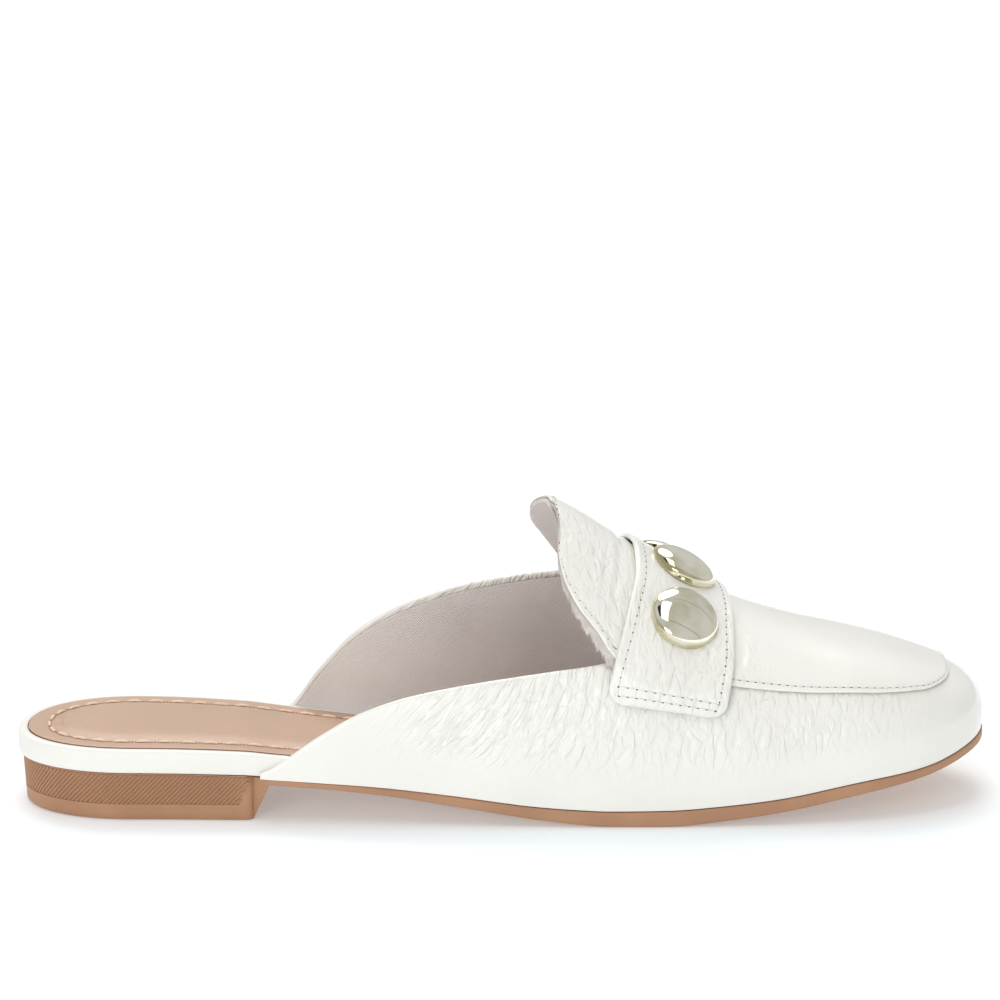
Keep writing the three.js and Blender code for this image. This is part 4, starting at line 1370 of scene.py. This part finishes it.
STRAP_SEAM = 2.3
STRAP_END_SEAMS = (2.0, 4.1)
STRAP_FOLDS = [
    (172.5, 32.0, 180.5, 34.5, 0.9, 0.3),
    (180.5, 34.5, 186.0, 39.5, 0.9, 0.3),
    (166.5, 36.0, 170.0, 42.0, 0.8, 0.3),
    (170.5, 36.5, 173.5, 40.5, 0.8, 0.25),
    (176.0, 37.5, 177.5, 41.0, 0.8, 0.25),
    (161.5, 38.0, 163.0, 50.0, 0.9, 0.3),
    (181.5, 42.0, 183.0, 46.0, 0.8, 0.25),
]


def strap_top(girth, across):
    """How far the strap's grain side stands off its underside, with its rounded edges, channels and folds."""
    from_side = np.minimum(across, 1 - across) * strap_width(girth)
    from_end = (1 - np.abs(girth)) * STRAP_HALF_LENGTH
    near = np.minimum(from_side, from_end)
    round_off = 1 - np.sqrt(np.clip(1 - (1 - np.clip(near / 1.0, 0, 1)) ** 2, 0, 1))
    groove = 0.08 * np.exp(-(((from_side - STRAP_SEAM) / 0.5) ** 2)) * smoothstep(from_end, 1, 2)
    for inset in STRAP_END_SEAMS:
        groove = groove + 0.08 * np.exp(-(((from_end - inset) / 0.5) ** 2)) * smoothstep(from_side, 1, 2)
    plump = 0.12 * smoothstep(near, 2.8, 6)
    folds = folds_on(strap_point(girth, across, STRAP), STRAP_FOLDS) * smoothstep(near, 2, 4)
    return STRAP - 0.8 * round_off - np.minimum(groove, 0.1) + plump + folds


def strap():
    girth = graded(230, 0.03) * 2 - 1
    across = graded(60, 0.05)
    G, A = girth[:, None], across[None]
    near = np.minimum(np.minimum(A, 1 - A) * strap_width(G), (1 - np.abs(G)) * STRAP_HALF_LENGTH)
    top = strap_point(G, A, strap_top(G, A))
    under = strap_point(G, A, 0.35 * (1 - smoothstep(near, 0, 1.1)))[:, ::-1]
    loops = np.concatenate([top, under], 1)
    faces, _ = loft(loops)
    points = loops.reshape(-1, 3)
    grain = np.clip(0.2 + 0.65 * smoothstep(np.abs(np.repeat(girth, loops.shape[1])), 0.15, 0.6), 0, 1)
    masks = {"grain": grain, "lean": 0.12 * (points[:, 2] - 45) / 1000}
    piece = new_piece("saddle_strap_leather", points, faces, [WHITE_LEATHER], sharp=60, masks=masks)
    settle(piece, "white_leather", "saddle_strap")


def strap_stitches():
    seam = lambda *where: seam_on(strap_point, strap_top, *where)
    rows = []
    ends = 1 - STRAP_END_SEAMS[0] / STRAP_HALF_LENGTH
    girth = np.linspace(-ends, ends, 900)
    share = STRAP_SEAM / strap_width(girth)
    for across in (share, 1 - share):
        rows.append(sew(*seam(girth, across), *STRAP_SIDE_SEAM))
    for end in (-1, 1):
        for drop in STRAP_END_SEAMS:
            g = end * (1 - drop / STRAP_HALF_LENGTH)
            share = STRAP_SEAM / float(strap_width(g))
            rows.append(sew(*seam(g, np.linspace(share, 1 - share, 200)), *STRAP_END_SEAM))
    return rows


def sewn_rows():
    rows = apron_stitches() + strap_stitches()
    threads = join([threads for threads, _ in rows])
    holes = join([holes for _, holes in rows])
    settle(new_piece("upper_stitches", *threads, [WHITE_THREAD], sharp=60), "white_leather")
    # Dark needle holes: painted shade
    settle(new_piece("upper_needle_hole_shade", *holes, [NEEDLE_DARK], sharp=60), "white_leather")


# A stud's rolled lower edge: how far inside its radius, and at what height
STUD_ROLL = [(0.6, 0), (0.25, 0.06), (0.02, 0.3), (0, 0.6)]
# The stud's foot is painted darker, as painted shade standing in for a darker reflection
STUD_SHADED = 1.2  # how far above the rim its darker foot reaches


def stud_profile():
    """A polished cap with a rolled lower edge, an upright rim and a full dome."""
    profile = [(0, 0)] + [(STUD_RADIUS - inside, height) for inside, height in STUD_ROLL]
    profile.append((STUD_RADIUS, STUD_RIM * 0.8))
    for angle in np.linspace(0.05, np.pi / 2, 26):
        profile.append((STUD_RADIUS * math.cos(angle), STUD_RIM + STUD_DOME * math.sin(angle)))
    return profile


def studs():
    around = np.linspace(0, 2 * np.pi, 97)[:-1]
    for name, girth in STUDS.items():
        at, up = stud_seat(girth)
        across = np.cross(up, [0.0, 1.0, 0.0])
        across /= np.linalg.norm(across)
        other = np.cross(up, across)
        one_way, other_way = np.outer(np.cos(around), across), np.outer(np.sin(around), other)
        profile = stud_profile()
        loops = [at + up * height + one_way * radius + other_way * radius for radius, height in profile]
        faces, _ = loft(np.array(loops), caps=False)
        # The rim mask marks the stud's foot, where a darker reflection is painted in as shade
        rim = np.repeat([height < STUD_RIM + STUD_SHADED for _, height in profile], len(around))
        masks = {"rim": rim.astype(float)}
        piece = new_piece(f"domed_{name}", np.concatenate(loops), faces, [PALE_GOLD], sharp=40, masks=masks)
        settle(piece, "pale_gold", name)


# Floor, light and camera


FLOOR_REACH = 12
FLOOR_DROP = 0.0002
# The floor's own shade, and the cooler tint painted into the shadow under the shoe
FLOOR_AND_SHADOW_TINTS = (0.80, 0.80, 0.80, 1), (0.735, 0.785, 0.81, 1)


def floor():
    """A pale floor with a cooler tint painted into the shadow under the shoe, and brighter far away from it.
    """
    mesh = bpy.data.meshes.new("floor")
    around = [(-1, -1), (1, -1), (1, 1), (-1, 1)]
    corners = [(x * FLOOR_REACH, y * FLOOR_REACH, -FLOOR_DROP) for x, y in around]
    mesh.from_pydata(corners, [], [(0, 1, 2, 3)])
    material, tree, shader, place = blank_material("pale_floor")
    away = vector_math(tree, "LENGTH", {0: place})["Value"]
    # Painted shadow tint: the colour turns cooler under the shoe
    tint(tree, shader, place, FLOOR_AND_SHADOW_TINTS, 3.0, spread(tree, away, 0.2, 0.5, 1.0, 0.0))
    shader.inputs["Roughness"].default_value = 0.9
    shader.inputs["Specular IOR Level"].default_value = 0.1
    shader.inputs["Emission Color"].default_value = (1, 1, 1, 1)
    tree.links.new(spread(tree, away, 0.2, 1.0, 0.27, 0.6), shader.inputs["Emission Strength"])
    mesh.materials.append(material)
    piece = bpy.data.objects.new("floor", mesh)
    bpy.context.scene.collection.objects.link(piece)


def set_up(name, data, place, way):
    """Puts a lamp or a camera in the scene, turned to look along a way."""
    thing = bpy.data.objects.new(name, data)
    thing.location = place
    thing.rotation_mode = "QUATERNION"
    thing.rotation_quaternion = way.to_track_quat("-Z", "Y")
    bpy.context.scene.collection.objects.link(thing)
    return thing


def soft_light(name, place, aim, size, power):
    light = bpy.data.lights.new(name, "AREA")
    light.shape = "RECTANGLE"
    light.size, light.size_y = size
    light.energy = power
    set_up(name, light, place, Vector(aim) - Vector(place))


def wide_sun(name, place, spread_angle, power):
    light = bpy.data.lights.new(name, "SUN")
    light.angle = math.radians(spread_angle)
    light.energy = power
    set_up(name, light, (0, 0, 0), -Vector(place))


ROOM_GLOW = 0.6
ROOM_DARK = 0.03
ROOM_BLUR = 0.008
LINE_SHADE = 0.55
# What the studs show of the room, as bounds of the view's direction in x and in y
DOORWAY = (-0.5, -0.26), (-0.35, 0.12)
NEAR_LINE = (0.02, 0.95), (-0.52, -0.49)
FAR_LINE = (0.2, 0.9), (0.26, 0.28)


def soft_room():
    """An even pale room with a dark doorway and two thin corner lines, which only the polished studs show."""
    world = bpy.data.worlds.new("soft_room")
    world.use_nodes = True
    tree = world.node_tree
    way = add(tree, "ShaderNodeTexCoord").outputs["Generated"]
    x, y, _ = add(tree, "ShaderNodeSeparateXYZ", {"Vector": way}).outputs

    def between(value, low, high):
        above = spread(tree, value, low - ROOM_BLUR, low + ROOM_BLUR, 0.0, 1.0)
        return multiply(tree, above, spread(tree, value, high - ROOM_BLUR, high + ROOM_BLUR, 1.0, 0.0))

    def area(x_bounds, y_bounds):
        return multiply(tree, between(x, *x_bounds), between(y, *y_bounds))

    lines = multiply(tree, add_up(tree, area(*NEAR_LINE), area(*FAR_LINE)), LINE_SHADE)
    strength = spread(tree, add_up(tree, area(*DOORWAY), lines), 0.0, 1.0, ROOM_GLOW, ROOM_DARK)
    tree.links.new(strength, tree.nodes["Background"].inputs["Strength"])
    tree.nodes["Background"].inputs["Color"].default_value = (1, 1, 1, 1)
    bpy.context.scene.world = world


# Soft lights by name: place, aim, width and length, and power
SOFT_LIGHTS = {
    "overhead_window": ((-0.08, -0.22, 1.1), (0, 0, 0), (0.4, 0.85), 2.2),
    "front_softbox": ((-0.5, -1.2, 0.42), (0, 0, 0.03), (0.5, 0.4), 4.2),
}


def studio():
    soft_room()
    wide_sun("broad_overhead", (-0.1, 0.75, 1.0), 36, 1.25)
    for name, light in SOFT_LIGHTS.items():
        soft_light(name, *light)
    settings = bpy.context.scene.view_settings
    settings.view_transform = "Standard"
    settings.exposure = 0.0


CAMERA = {"elevation": 13.2, "turned": 2.0, "aim": (-0.00045, 0, 0.0792), "distance": 1.5, "focal": 5.655}


def camera():
    up, turned = math.radians(CAMERA["elevation"]), math.radians(CAMERA["turned"])
    ahead = Vector((math.sin(turned) * math.cos(up), math.cos(turned) * math.cos(up), -math.sin(up)))
    lens = bpy.data.cameras.new("camera")
    lens.sensor_width = 36
    lens.lens = lens.sensor_width * CAMERA["focal"]
    lens.clip_start, lens.clip_end = 0.05, 60
    place = Vector(CAMERA["aim"]) - ahead * CAMERA["distance"]
    bpy.context.scene.camera = set_up("camera", lens, place, ahead)


outsole()
heel_ribs()
insole_board()
padded_sock()
upper()
lining()
apron()
tongue_backing()
tongue_fray()
strap()
sewn_rows()
studs()
floor()
studio()
camera()
